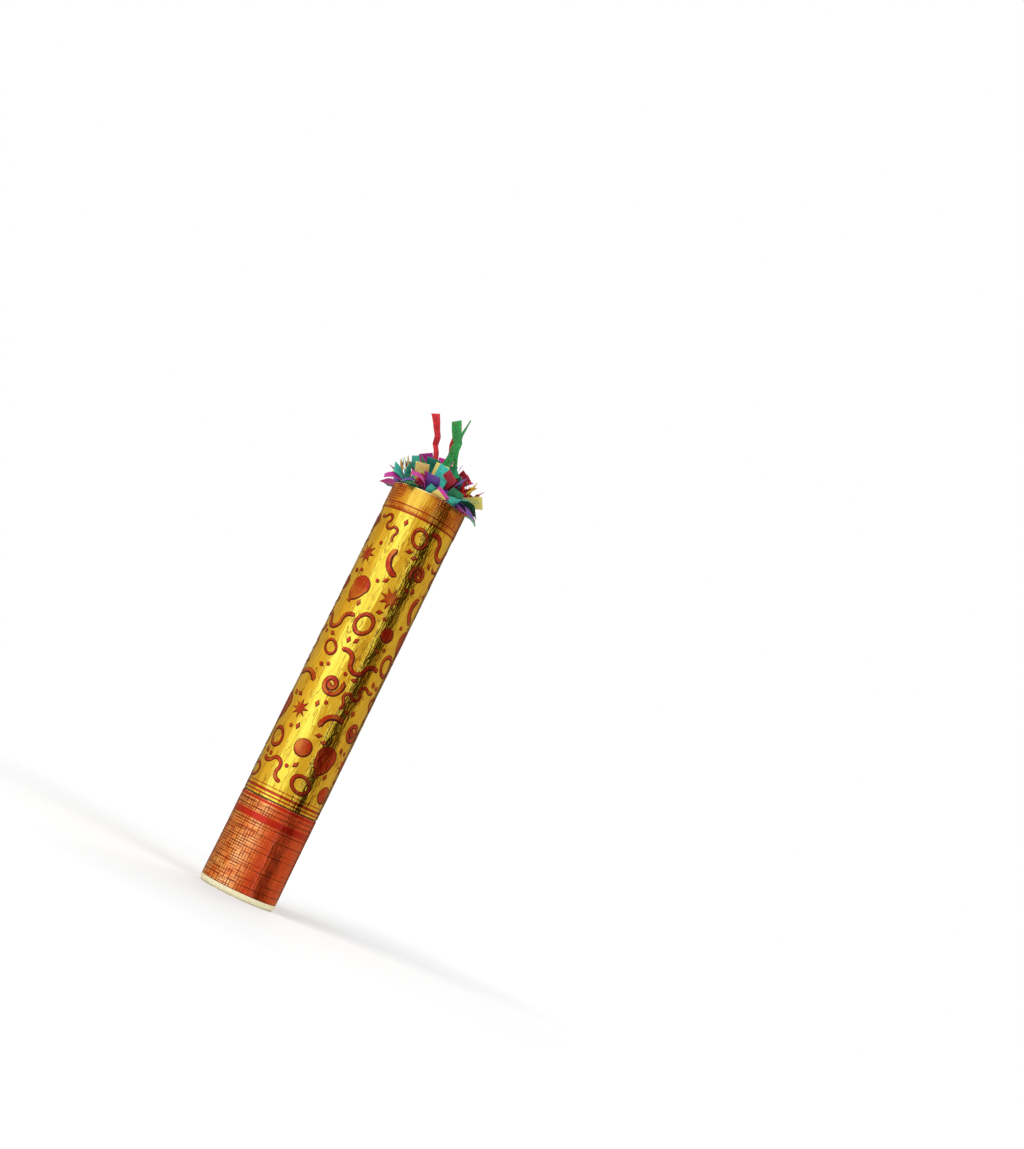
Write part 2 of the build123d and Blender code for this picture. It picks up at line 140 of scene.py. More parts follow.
def grained(name, pale, dark, grain, rough_low, rough_high, relief, stretch=(1, 1, 1), **sockets):
    """A finish whose colour, roughness and relief all follow one noise of the right grain."""
    material, tree, shader = new_finish(name, **sockets)
    place = add(tree, "ShaderNodeTexCoord").outputs["Object"]
    scaled = add(tree, "ShaderNodeMapping", {"Vector": place, "Scale": [k / grain for k in stretch]})
    noise = add(tree, "ShaderNodeTexNoise", {"Vector": scaled.outputs[0], "Scale": 1.0, "Detail": 3.0})
    colour = add(tree, "ShaderNodeValToRGB", {"Fac": noise.outputs["Fac"]}, stops=((0.3, dark), (0.7, pale)))
    tree.links.new(colour.outputs["Color"], shader.inputs["Base Color"])
    gloss = add(tree, "ShaderNodeMapRange", {
        "Value": noise.outputs["Fac"], "To Min": rough_low, "To Max": rough_high})
    tree.links.new(gloss.outputs[0], shader.inputs["Roughness"])
    bump = add(tree, "ShaderNodeBump", {"Height": noise.outputs["Fac"], "Distance": relief, "Strength": 0.5})
    tree.links.new(bump.outputs[0], shader.inputs["Normal"])
    return material


print("Materials that came with the frame:", len(bpy.data.materials))

# %% [markdown]
# An operator acts on everything that is selected, and the CAD nodes are selected after loading. So each
# new piece starts from a clean selection, and each finished piece ends with its place in its mesh and its
# object at the origin.

# %% Helpers for choosing what an operator acts on
def start_clean():
    if bpy.context.object and bpy.context.object.mode != "OBJECT":
        bpy.ops.object.mode_set(mode="OBJECT")
    bpy.ops.object.select_all(action="DESELECT")


def settle(name):
    piece = bpy.context.object
    piece.name = name
    piece.data.name = name
    bpy.ops.object.transform_apply(location=True, rotation=True, scale=True)
    return piece


def pick(piece, mode, test):
    """In edit mode, select the vertices or faces whose middle passes the test."""
    bpy.ops.mesh.select_mode(type=mode)
    bpy.ops.mesh.select_all(action="DESELECT")
    bpy.ops.object.mode_set(mode="OBJECT")
    mesh = piece.data
    if mode == "FACE":
        for face in mesh.polygons:
            face.select = test(face.center)
    else:
        for vertex in mesh.vertices:
            vertex.select = test(vertex.co)
    bpy.ops.object.mode_set(mode="EDIT")


# %% Helpers for shaping and finishing a piece
def pinch_points(piece, share, middle):
    """Draw every second point of a ring in towards the middle, which leaves the tips of a star."""
    bpy.ops.object.mode_set(mode="EDIT")
    bpy.ops.mesh.select_mode(type="VERT")
    bpy.ops.mesh.select_all(action="DESELECT")
    bpy.ops.object.mode_set(mode="OBJECT")
    for vertex in piece.data.vertices:
        vertex.select = vertex.index % 2 == 1
    bpy.ops.object.mode_set(mode="EDIT")
    bpy.ops.transform.resize(value=(share, share, 1), center_override=middle)


def apply_modifier(piece, kind, **settings):
    made = piece.modifiers.new(kind.lower(), kind)
    for name, value in settings.items():
        setattr(made, name, value)
    bpy.ops.object.modifier_apply(modifier=made.name)


def finish_piece(piece, body, slot, material, *nodes):
    piece.data.materials.clear()
    piece.data.materials.append(material)
    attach(piece, body)
    if nodes:
        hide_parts(*nodes)
    print(piece.name, "faces:", len(piece.data.polygons))


def only(piece):
    start_clean()
    piece.select_set(True)
    bpy.context.view_layer.objects.active = piece


# %% [markdown]
# ## Skins of printed film
# Both tubes wear a thin metallised film, wrapped round once and glued where its ends lap at the back. A
# CAD cylinder has flat facets, which a mirror-like film shows at once. So each skin is a fine open
# cylinder: the strip of faces at the back is pushed out a tenth of a millimetre to make the lap, and
# Solidify gives the wall.

# %% Film skins
around_steps = 288
film_wall = 0.24 * mm
lap_width = 5 * mm
lap_rise = 0.1 * mm


def film_skin(name, node, rise):
    low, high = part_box(node)
    start_clean()
    bpy.ops.mesh.primitive_cylinder_add(
        vertices=around_steps, radius=high.x, depth=high.z - low.z, end_fill_type="NOTHING",
        location=(0, 0, (low.z + high.z) / 2))
    skin = settle(name)
    bpy.ops.object.mode_set(mode="EDIT")
    pick(skin, "FACE", lambda c: c.y > 0 and abs(c.x - lap_width / 2) < lap_width / 2)
    if rise:
        bpy.ops.mesh.extrude_region_shrink_fatten(TRANSFORM_OT_shrink_fatten={"value": rise})
    bpy.ops.object.mode_set(mode="OBJECT")
    apply_modifier(skin, "SOLIDIFY", thickness=film_wall, offset=-1.0)
    bpy.ops.object.shade_smooth_by_angle(angle=math.radians(35))
    return skin


barrel_skin = film_skin("barrel_skin", "barrel_film", lap_rise)
grip_skin = film_skin("grip_skin", "grip_film", lap_rise)
mouth_band = film_skin("mouth_band", "muzzle_band", 0.0)
film_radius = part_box("barrel_film")[1].x
print("Film radius in mm:", round(film_radius / mm, 2))

# %% [markdown]
# ## The red print
# The film is printed with party shapes: dots, curls, hoops, bursts and balloons. Each is drawn once,
# flat, then copied over a sheet as wide as the tube is round. A flat sheet wraps onto the tube with a
# Bend modifier, whose angle is the sheet's width divided by the tube's radius.

# %% Draw a dot, a burst and a diamond
def flat_circle(name, steps, radius):
    start_clean()
    bpy.ops.mesh.primitive_circle_add(vertices=steps, radius=radius, fill_type="NGON")
    return settle(name)


def draw_dot(grow):
    return flat_circle("dot", 28, 3.6 * mm + grow)


def draw_burst(grow):
    burst = flat_circle("burst", 16, 5.2 * mm + 1.6 * grow)
    pinch_points(burst, 0.45, (0, 0, 0))
    bpy.ops.object.mode_set(mode="OBJECT")
    return burst


def draw_diamond(grow):
    diamond = flat_circle("diamond", 4, 1.9 * mm + 1.3 * grow)
    diamond.scale = (0.75, 1.2, 1)
    return settle("diamond")


print("Party shapes from circles: dot, burst, diamond")

# %% Draw a hoop and a balloon
def draw_hoop(grow):
    hoop = flat_circle("hoop", 40, 5.1 * mm + grow)
    bpy.ops.object.mode_set(mode="EDIT")
    bpy.ops.mesh.select_all(action="SELECT")
    bpy.ops.mesh.inset(thickness=1.2 * mm + 2 * grow)
    bpy.ops.mesh.delete(type="FACE")
    bpy.ops.object.mode_set(mode="OBJECT")
    hoop.scale = (0.8, 1.0, 1)
    return settle("hoop")


def draw_balloon(grow):
    balloon = flat_circle("balloon", 32, 6.0 * mm + grow)
    bpy.ops.object.mode_set(mode="EDIT")
    pick(balloon, "VERT", lambda c: c.y < 0)
    bpy.ops.transform.resize(value=(0.92, 1.5, 1), center_override=(0, 0, 0))
    pick(balloon, "VERT", lambda c: c.y < -8.6 * mm)
    bpy.ops.transform.resize(value=(0.8, 1.06, 1), center_override=(0, 0, 0))
    bpy.ops.object.mode_set(mode="OBJECT")
    bpy.ops.mesh.primitive_circle_add(
        vertices=3, radius=1.7 * mm + grow, fill_type="NGON", location=(0, -10.4 * mm, 0))
    knot = bpy.context.object
    knot.select_set(True)
    balloon.select_set(True)
    bpy.context.view_layer.objects.active = balloon
    bpy.ops.object.join()
    return settle("balloon")


print("More party shapes from circles: hoop, balloon")

# %% [markdown]
# Curls and crescents are ribbons of steady width. Spin does that: it takes one short edge round a centre
# and leaves faces behind it. A ribbon is a list of turns, each a radius and an angle, left turns
# positive. Turns that widen make a curl, and turns to the left and right make a wave. The ends are then
# merged to points, as a brush would leave them.

# %% Draw a ribbon with Spin
def draw_ribbon(name, width, turns):
    start_clean()
    bpy.ops.mesh.primitive_plane_add(size=width)
    ribbon = settle(name)
    bpy.ops.object.mode_set(mode="EDIT")
    pick(ribbon, "VERT", lambda c: c.y < 0)
    bpy.ops.mesh.delete(type="VERT")
    bpy.ops.mesh.select_all(action="SELECT")
    bpy.ops.transform.translate(value=(0, -width / 2, 0))
    tip = Vector((0, 0, 0))
    heading = math.radians(90)
    for radius, degrees in turns:
        side = math.copysign(1, degrees)
        centre = tip + side * radius * Vector((-math.sin(heading), math.cos(heading), 0))
        angle = math.radians(degrees)
        # Spin turns clockwise for a positive angle, so the angle changes sign here
        bpy.ops.mesh.spin(
            steps=max(4, int(abs(degrees) / 13)), angle=-angle, center=centre, axis=(0, 0, 1), dupli=False)
        tip = centre + Matrix.Rotation(angle, 3, "Z") @ (tip - centre)
        heading += angle
    bpy.ops.mesh.select_all(action="SELECT")
    bpy.ops.mesh.remove_doubles(threshold=0.01 * mm)
    for end in (Vector((0, 0, 0)), tip):
        pick(ribbon, "VERT", lambda c: abs((c - end).length - width / 2) < 0.01 * width)
        bpy.ops.mesh.merge(type="CENTER")
    bpy.ops.object.mode_set(mode="OBJECT")
    bpy.ops.object.origin_set(type="ORIGIN_GEOMETRY", center="BOUNDS")
    ribbon.location = (0, 0, 0)
    return settle(name)


print("A ribbon starts along +Y and turns to the left for a positive angle")

# %% Curls, waves, crescents and serpentines
def draw_curl(grow):
    turns = [(1.3 * mm, 200), (2.3 * mm, 180), (3.6 * mm, 170), (6.0 * mm, 60)]
    return draw_ribbon("curl", 1.35 * mm + 2 * grow, turns)


def draw_wave(grow):
    return draw_ribbon("wave", 1.5 * mm + 2 * grow, [(4.2 * mm, 120), (3.8 * mm, -170), (4.2 * mm, 130)])


def draw_crescent(grow):
    return draw_ribbon("crescent", 1.9 * mm + 2 * grow, [(6.5 * mm, 130)])


def draw_serpentine(grow):
    turns = [(3.2 * mm, 100), (2.4 * mm, -190), (2.4 * mm, 190), (2.4 * mm, -180), (3.6 * mm, 90)]
    return draw_ribbon("serpentine", 0.95 * mm + 2 * grow, turns)


print("Party shapes from ribbons: curl, wave, crescent, serpentine")

# %% [markdown]
# The shapes go on the sheet in rows, each row half a step along from the one below, and turned and sized
# a little differently each time. A shape that would touch another, or the printed rings, is turned or
# moved until it has room, and a small one that finds none is left out. A k-d tree tells how near the
# closest point is that is already taken.

# %% Size of the sheet and its rows
print_rows = 9
print_columns = 8
print_foot = 79 * mm
row_step = 21.5 * mm
column_step = 19.8 * mm
sheet_margin = 0.4 * mm
film_half = math.pi * film_radius
print_start, print_end = sheet_margin - film_half, film_half - lap_width - sheet_margin
print_low, print_high = 70.5 * mm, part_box("muzzle_band")[0].z
print_order = ("curl", "dot", "serpentine", "balloon", "hoop", "burst", "wave", "crescent", "hoop")
room = 2 * mm
print("Sheet in mm:", round((print_end - print_start) / mm, 1), "by", round((print_high - print_low) / mm, 1))

# %% Find room for a shape
def draw_all(grow):
    drawings = (
        draw_dot, draw_burst, draw_diamond, draw_balloon, draw_curl,
        draw_wave, draw_crescent, draw_hoop, draw_serpentine)
    drawn = [draw(grow) for draw in drawings]
    return {shape.name: shape for shape in drawn}


def flat_spot(across, rise, turn, size):
    return Matrix.Translation((across, rise, 0)) @ Matrix.Rotation(turn, 4, "Z") @ Matrix.Scale(size, 4)


def claim(shape, spots, taken, optional):
    """Take the first spot with room round the shape, or else the roomiest, unless the shape is optional."""
    tree = KDTree(len(taken))
    for k, point in enumerate(taken):
        tree.insert(point, k)
    tree.balance()
    best_gap, best_spot = -1.0, None
    for spot in spots:
        gap = min(tree.find(spot @ vertex.co)[2] for vertex in shape.data.vertices)
        if gap > best_gap:
            best_gap, best_spot = gap, spot
        if gap > room:
            break
    if optional and best_gap < room:
        return None
    taken.extend(best_spot @ vertex.co for vertex in shape.data.vertices)
    return best_spot


print("Room round a shape in mm:", round(room / mm, 1))

# %% Plan the print
def plan_print(shapes):
    reach = int(film_half / mm) + 5
    taken = [Vector((k * mm, level, 0)) for k in range(-reach, reach) for level in (print_low, print_high)]
    large, small = [], []
    for row in range(print_rows):
        for column in range(print_columns):
            across = (column - (print_columns - 1) / 2 + 0.5 * (row % 2) - 0.25) * column_step
            rise = print_foot + row * row_step
            swing = math.sin(3.1 * row + 1.7 * column)
            name = print_order[(4 * row + 2 * column) % len(print_order)]
            turn, turn_step = (0.3 * swing, 0.12) if name == "balloon" else (2.4 * swing, 0.5)
            size = 1.3 + 0.2 * swing
            large.append((name, [
                flat_spot(across + (2 * swing + slide) * mm, rise + lift * mm, turn + k * turn_step, size)
                for slide in (0, 3, -3) for lift in (0, 2, -2, 4, -4, 6) for k in (0, 1, -1, 2, -2, 3, -3)]))
            name, size = ("diamond", 0.9) if (row + column) % 3 else ("dot", 0.34)
            for side in (-1, 1):
                small.append((name, [
                    flat_spot(across + side * (7.5 + shift) * mm, rise + (9 + 2 * swing + lift) * mm,
                              swing + side, size)
                    for shift in (0, 2, -2) for lift in (0, 1.5, -1.5, 3)]))
    claimed = [(name, claim(shapes[name], spots, taken, False)) for name, spots in large]
    claimed += [(name, claim(shapes[name], spots, taken, True)) for name, spots in small]
    return [(name, spot) for name, spot in claimed if spot]


shapes = draw_all(0.0)
print_plan = plan_print(shapes)
print("Shapes on the sheet:", len(print_plan))

# %% [markdown]
# The sheet is printed twice, as a press does it: first a dark key line, drawn a little larger, and then
# the red on top. Cheap printing is seldom in register, so the key line lies 0.3 mm to one side.

# %% Print the key line and the red
def twin_of(master, matrix):
    twin = master.copy()
    twin.data = master.data.copy()
    bpy.context.collection.objects.link(twin)
    twin.matrix_world = matrix
    return twin


def join_pieces(name, pieces):
    start_clean()
    for piece in pieces:
        piece.select_set(True)
    bpy.context.view_layer.objects.active = pieces[0]
    bpy.ops.object.join()
    return settle(name)


def lay_out(name, shapes, slip):
    shift = Matrix.Translation((slip, -slip, 0))
    laid = [twin_of(shapes[shape], shift @ spot) for shape, spot in print_plan]
    for shape in shapes.values():
        bpy.data.objects.remove(shape)
    return join_pieces(name, laid)


key_line_grow, key_line_slip = 0.5 * mm, 0.3 * mm
red_print = lay_out("red_print", shapes, 0.0)
key_line = lay_out("key_line", draw_all(key_line_grow), key_line_slip)
print("Faces on a flat sheet:", len(red_print.data.polygons))

# %% [markdown]
# A flat face can't bend, so the sheet is cut every 1.5 mm before it is wrapped. Solidify gives the ink
# its depth, and Bend then lays the sheet round the barrel, the key line a little lower than the red.

# %% Cut the sheets, give them depth and wrap them round the barrel
cut_step = 1.5 * mm


def wrap_sheet(sheet, radius, depth):
    only(sheet)
    bpy.ops.object.mode_set(mode="EDIT")
    cut = print_start
    while cut < print_end:
        bpy.ops.mesh.select_all(action="SELECT")
        bpy.ops.mesh.bisect(plane_co=(cut, 0, 0), plane_no=(1, 0, 0))
        cut += cut_step
    for edge, keep in ((print_start, "clear_inner"), (print_end, "clear_outer")):
        bpy.ops.mesh.select_all(action="SELECT")
        bpy.ops.mesh.bisect(plane_co=(edge, 0, 0), plane_no=(1, 0, 0), **{keep: True})
    bpy.ops.mesh.select_mode(type="FACE")
    bpy.ops.mesh.select_all(action="DESELECT")
    bpy.ops.object.mode_set(mode="OBJECT")
    for face in sheet.data.polygons:
        face.select = face.normal.z < 0
    bpy.ops.object.mode_set(mode="EDIT")
    bpy.ops.mesh.flip_normals()
    bpy.ops.object.mode_set(mode="OBJECT")
    apply_modifier(sheet, "SOLIDIFY", thickness=depth, offset=1.0)
    sheet.rotation_euler = (math.radians(90), 0, 0)
    settle(sheet.name)
    edges = [vertex.co.x for vertex in sheet.data.vertices]
    bend = (max(edges) - min(edges)) / radius
    apply_modifier(sheet, "SIMPLE_DEFORM", deform_method="BEND", deform_axis="Z", angle=bend)
    sheet.location = (0, -radius, 0)
    settle(sheet.name)
    bpy.ops.object.shade_smooth_by_angle(angle=math.radians(35))
    reach = [math.hypot(vertex.co.x, vertex.co.y) / mm for vertex in sheet.data.vertices]
    print(sheet.name, "radius in mm:", round(min(reach), 3), "to", round(max(reach), 3))


key_line_lift, key_line_depth = 0.013 * mm, 0.018 * mm
red_lift, red_depth = 0.036 * mm, 0.024 * mm
wrap_sheet(key_line, film_radius + key_line_lift, key_line_depth)
wrap_sheet(red_print, film_radius + red_lift, red_depth)

# %% [markdown]
# ## Loose paper
# The load is several hundred tissue slips, with foil stars and crinkled streamers standing out of the
# mouth. Three curled slips and a rolled one are modelled, and copied. A slip has few faces, because there
# are hundreds: a small grid, twisted and then curled by modifiers, with the paper's thickness from
# Solidify. A star is a ring of ten points, of which every second one is drawn in, and its middle is
# raised.

# %% Four slips and a star
slip_width, slip_length, paper = 9 * mm, 19 * mm, 0.16 * mm
star_radius, star_waist, star_rise = 7 * mm, 0.42, 0.7 * mm


def curl_strip(strip, degrees):
    """Curl a strip that lies along Y. Bend curls what stands along Z, so the strip is stood up for it."""
    strip.rotation_euler = (math.radians(90), 0, 0)
    settle(strip.name)
    apply_modifier(strip, "SIMPLE_DEFORM", deform_method="BEND", deform_axis="X", angle=math.radians(degrees))
    strip.rotation_euler = (math.radians(-90), 0, 0)
    settle(strip.name)


def make_slip(name, curl, twist):
    start_clean()
    bpy.ops.mesh.primitive_grid_add(
        x_subdivisions=2, y_subdivisions=6, size=1, location=(0, slip_length / 2, 0))
    bpy.context.object.scale = (slip_width, slip_length, 1)
    slip = settle(name)
    apply_modifier(slip, "SIMPLE_DEFORM", deform_method="TWIST", deform_axis="Y", angle=math.radians(twist))
    curl_strip(slip, curl)
    apply_modifier(slip, "SOLIDIFY", thickness=paper, offset=0.0)
    bpy.ops.object.shade_smooth_by_angle(angle=math.radians(50))
    return slip


def make_star(name):
    start_clean()
    bpy.ops.mesh.primitive_circle_add(
        vertices=10, radius=star_radius, fill_type="NGON", location=(0, star_radius, 0))
    star = settle(name)
    pinch_points(star, star_waist, (0, star_radius, 0))
    bpy.ops.mesh.select_mode(type="FACE")
    bpy.ops.mesh.select_all(action="SELECT")
    bpy.ops.mesh.poke(offset=star_rise)
    bpy.ops.object.mode_set(mode="OBJECT")
    apply_modifier(star, "SOLIDIFY", thickness=paper, offset=0.0)
    return star


slip_masters = [
    make_slip("slip_flat", 14, 10), make_slip("slip_curled", -46, -16), make_slip("slip_bent", 60, 26)]
rolled_slip = make_slip("slip_rolled", -125, 14)
star_master = make_star("star")
print("Faces of a slip:", len(slip_masters[0].data.polygons), "of a star:", len(star_master.data.polygons))

# %% [markdown]
# A streamer is a strip of crepe paper, crinkled along its length and kinked where it was folded. It
# starts as a long grid. Each point is pushed out of the flat by two fine waves across the strip, which
# give the lengthwise creases, and by kinks along it, one at each fold. The strip also narrows and wanders
# a little, and is then twisted and curled.

# %% Two crinkled streamers
streamer_width, streamer_length = 7 * mm, 58 * mm
fold_pitch, straight_foot, most_folds = 5.2 * mm, 6 * mm, 14
kink_depth, crease_depth, crease_pitch = 0.9 * mm, 0.3 * mm, 1.9 * mm


def make_streamer(name, seed, bend, twist):
    draw = random.Random(seed)
    start_clean()
    bpy.ops.mesh.primitive_grid_add(
        x_subdivisions=14, y_subdivisions=64, size=1, location=(0, streamer_length / 2, 0))
    bpy.context.object.scale = (streamer_width, streamer_length, 1)
    strip = settle(name)
    kinks = [draw.uniform(-1.3, 1.3) for _ in range(most_folds)]
    for vertex in strip.data.vertices:
        along = max(vertex.co.y - straight_foot, 0.0)
        fold, part = divmod(along / fold_pitch, 1)
        kink = kinks[int(fold)] * (1 - part) + kinks[int(fold) + 1] * part
        drift = 0.5 * math.sin(along / (4 * mm) + seed)
        crease = math.sin(2 * math.pi * vertex.co.x / crease_pitch + drift)
        crease += 0.6 * math.sin(vertex.co.x / (0.21 * mm) - drift)
        fade = min(along / (8 * mm), 1.0)
        vertex.co.z += fade * (kink_depth * kink + crease_depth * crease)
        narrow = 1 - 0.22 * fade * (0.5 + 0.5 * math.sin(along / (9 * mm) + 2 * seed))
        vertex.co.x = vertex.co.x * narrow + 0.9 * mm * fade * math.sin(along / (11 * mm) + seed)
    apply_modifier(strip, "SIMPLE_DEFORM", deform_method="TWIST", deform_axis="Y", angle=math.radians(twist))
    curl_strip(strip, bend)
    apply_modifier(strip, "SOLIDIFY", thickness=paper, offset=0.0)
    bpy.ops.object.shade_smooth_by_angle(angle=math.radians(40))
    return strip


streamer_masters = [make_streamer("streamer_a", 3, 38, 60), make_streamer("streamer_b", 8, -20, -80)]
print("Faces of a streamer:", len(streamer_masters[0].data.polygons))

# %% [markdown]
# The standing pieces keep the places that the CAD model gives them, in four rings on the domed top of the
# load, each leaning outwards. A piece is modelled lying along Y, so a matrix stands it up, leans it,
# turns it round the axis and sinks its foot a few millimetres into the load.

# %% Places in the load
pack_low, pack_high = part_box("confetti_pack")
load_radius = pack_high.x
crown_top, crown_height = 284 * mm, 10 * mm
crown_edge = crown_top - crown_height
ball_radius = (load_radius ** 2 + crown_height ** 2) / (2 * crown_height)
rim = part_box("barrel_tube")[1].z
bed_depth = 3 * mm
ring_stagger = 0.9 * mm
standing = Matrix(((0, 0, 1, 0), (1, 0, 0, 0), (0, 1, 0, 0), (0, 0, 0, 1)))
rings = (
    (0.20, 7.0, ("streamer_green", "streamer_red")),
    (0.46, 13.0, ("yellow", "streamer_red", "teal", "magenta", "streamer_green", "red")),
    (0.67, 14.0, ("green", "purple", "yellow", "red", "teal", "magenta", "star", "purple")),
    (0.86, 12.0, ("red", "star", "green", "yellow", "purple", "star", "teal", "green", "star", "magenta")),
)


def turned_by(degrees, axis):
    return Matrix.Rotation(math.radians(degrees), 4, axis)


def paper_place(height, from_axis, azimuth, lean, tilt, depth=bed_depth, swivel=0.0):
    """A matrix with X across the paper, Y up it and Z out of its face; angles in degrees."""
    turned = turned_by(azimuth, "Z") @ turned_by(lean, "Y") @ standing
    turned = turned @ turned_by(tilt, "Z") @ turned_by(swivel, "Y")
    angle = math.radians(azimuth)
    foot = Vector((from_axis * math.cos(angle), from_axis * math.sin(angle), height))
    up_the_paper = turned.to_3x3() @ Vector((0, 1, 0))
    return Matrix.Translation(foot - up_the_paper * depth) @ turned


def crown_height_at(from_axis):
    return crown_top - ball_radius + math.sqrt(ball_radius ** 2 - from_axis ** 2)


print("Top of the load in mm:", round(crown_edge / mm, 1), "to", round(crown_top / mm, 1))

# %% [markdown]
# The standing pieces are copies of the modelled ones. Each copy is also kept as a search tree of its
# faces above the rim, so that the papers that come later can be tried against it.

# %% Standing pieces
paper_kinds = ("yellow", "green", "teal", "purple", "red", "magenta")
star_kinds = ("star_blue", "star_yellow", "star_red", "star_green")
copies = {}
shown_papers = []


def shown_part(master, place):
    """A search tree of the faces that stand above the rim."""
    points = [place @ vertex.co for vertex in master.data.vertices]
    faces = [face.vertices for face in master.data.polygons if max(points[v].z for v in face.vertices) > rim]
    return BVHTree.FromPolygons(points, faces)


def scatter(kind, master, place):
    copies.setdefault(kind, []).append(twin_of(master, place))
    shown_papers.append(shown_part(master, place))


stars_made = 0
for ring_index, (share, lean, kinds) in enumerate(rings):
    for k, kind in enumerate(kinds):
        wobble = math.sin(2.4 * k + 1.3 * ring_index)
        from_axis = share * load_radius + ring_stagger * (-1) ** k
        azimuth = 360 * k / len(kinds) + 17 * ring_index
        place = paper_place(crown_height_at(from_axis), from_axis, azimuth, lean + 2 * wobble, 9 * wobble)
        if kind.startswith("streamer"):
            scatter(kind, streamer_masters[(ring_index + k) % 2], place)
        elif kind == "star":
            scatter(star_kinds[stars_made % len(star_kinds)], star_master, place)
            stars_made += 1
        else:
            scatter(kind, slip_masters[(k + ring_index) % 3], place)
print("Standing pieces:", sum(len(group) for group in copies.values()))

# %% [markdown]
# Among the standing pieces lies a loose heap, highest in the middle, whose slips may hang over the rim,
# with foil stars round its outside. A slip near the rim leans only as far as the reach allows. Upright
# slips then fill the crown below. Paper can't pass through paper, so each piece is tried in many places,
# and stays in the one where it cuts the fewest others. The search trees find the cuts quickly.

# %% Try a loose paper in many places
most_tries = 200


def scatter_clear(kind, master, draw_place):
    fewest, best = math.inf, None
    for _ in range(most_tries):
        place = draw_place()
        shown = shown_part(master, place)
        cuts = sum(len(shown.overlap(other)) for other in shown_papers)
        if cuts < fewest:
            fewest, best = cuts, place
        if not cuts:
            break
    scatter(kind, master, best)
    return fewest


print("Most tries for a loose paper:", most_tries)

# %% Where a loose paper may lie
chance = random.Random(42)
heap_rise, heap_reach = 14 * mm, 31 * mm


def spot_on_top():
    share = math.sqrt(chance.random())
    return share, 0.92 * load_radius * share, chance.uniform(0, 360)


def spot_in_crown():
    share, from_axis, azimuth = spot_on_top()
    lean = chance.uniform(-22, 14) * (1 - 0.6 * share)
    return paper_place(crown_height_at(from_axis), from_axis, azimuth, lean, chance.uniform(-25, 25),
                       chance.uniform(4, 9) * mm, chance.uniform(-80, 80))


def spot_on_heap():
    share, from_axis, azimuth = spot_on_top()
    most = math.degrees(math.asin(min((heap_reach - from_axis) / slip_length, 1.0)))
    lean = min(8 + 42 * share + chance.uniform(-22, 22), most)
    height = rim + 1 * mm + heap_rise * (1 - share ** 2)
    tilt = chance.uniform(-1, 1) * (70 - 35 * share)
    return paper_place(height, from_axis, azimuth, lean, tilt,
                       chance.uniform(2, 4.5) * mm, chance.uniform(-70, 70))


def spot_for_star():
    height = rim + chance.uniform(5, 12) * mm
    return paper_place(height, chance.uniform(0.8, 1.0) * load_radius, chance.uniform(0, 360),
                       chance.uniform(18, 38), chance.uniform(-40, 40), 1 * mm, chance.uniform(-20, 20))


print("Heap in mm: rise", round(heap_rise / mm), "reach", round(heap_reach / mm))

# %% Heap slips and stars, then fill the crown
crown_fill, heap_fill, heap_stars = 42, 62, 12
cuts = []
for k in range(heap_fill):
    master = rolled_slip if k % 4 == 3 else slip_masters[(k + k // 6) % 3]
    cuts.append(scatter_clear(paper_kinds[k % 6], master, spot_on_heap))
for k in range(heap_stars):
    cuts.append(scatter_clear(star_kinds[k % len(star_kinds)], star_master, spot_for_star))
print("Heap:", len(cuts), "of which cut others:", sum(1 for count in cuts if count))
for k in range(crown_fill):
    cuts.append(scatter_clear(paper_kinds[k % 6], slip_masters[(k + k // 6) % 3], spot_in_crown))
print("Papers on top:", len(cuts), "of which cut others:", sum(1 for count in cuts if count))

# %% [markdown]
# The other slips lie against the side of the column inside the barrel, each turned its own way.

# %% Fill the column
column_fill = 330
column_inner_mm, column_outer_mm = 18.6, 21.8
column_margin = 6 * mm
column_lean = 0.25
slip_middle = Matrix.Translation((0, -slip_length / 2, 0))
for k in range(column_fill):
    azimuth = chance.uniform(0, 2 * math.pi)
    from_axis = chance.uniform(column_inner_mm, column_outer_mm) * mm
    height = chance.uniform(pack_low.z + column_margin, crown_edge - column_margin)
    lean = Matrix.Rotation(chance.uniform(-column_lean, column_lean), 4, "Y")
    twirl = Matrix.Rotation(chance.uniform(0, 2 * math.pi), 4, "Z")
    turned = Matrix.Rotation(azimuth, 4, "Z") @ lean @ standing @ twirl
    spot = Vector((from_axis * math.cos(azimuth), from_axis * math.sin(azimuth), height))
    place = Matrix.Translation(spot) @ turned @ slip_middle
    copies[paper_kinds[k % 6]].append(twin_of(slip_masters[0], place))
for master in [*slip_masters, *streamer_masters, rolled_slip, star_master]:
    bpy.data.objects.remove(master)
print("Slips round the column:", column_fill)

# %% [markdown]
# The barrel's wall is card, and no paper can stand in it. A point outside the band, or just over the
# wall, is laid on the rim, and the ends droop a little. A point below the rim is drawn in to the bore,
# with the faces that it belongs to.

# %% Keep the paper out of the wall
band_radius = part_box("muzzle_band")[1].x
rim_gap, bore_gap, over_the_wall = 0.6 * mm, 0.1 * mm, 1.5 * mm
droop_start, droop_slope = 3 * mm, 0.35


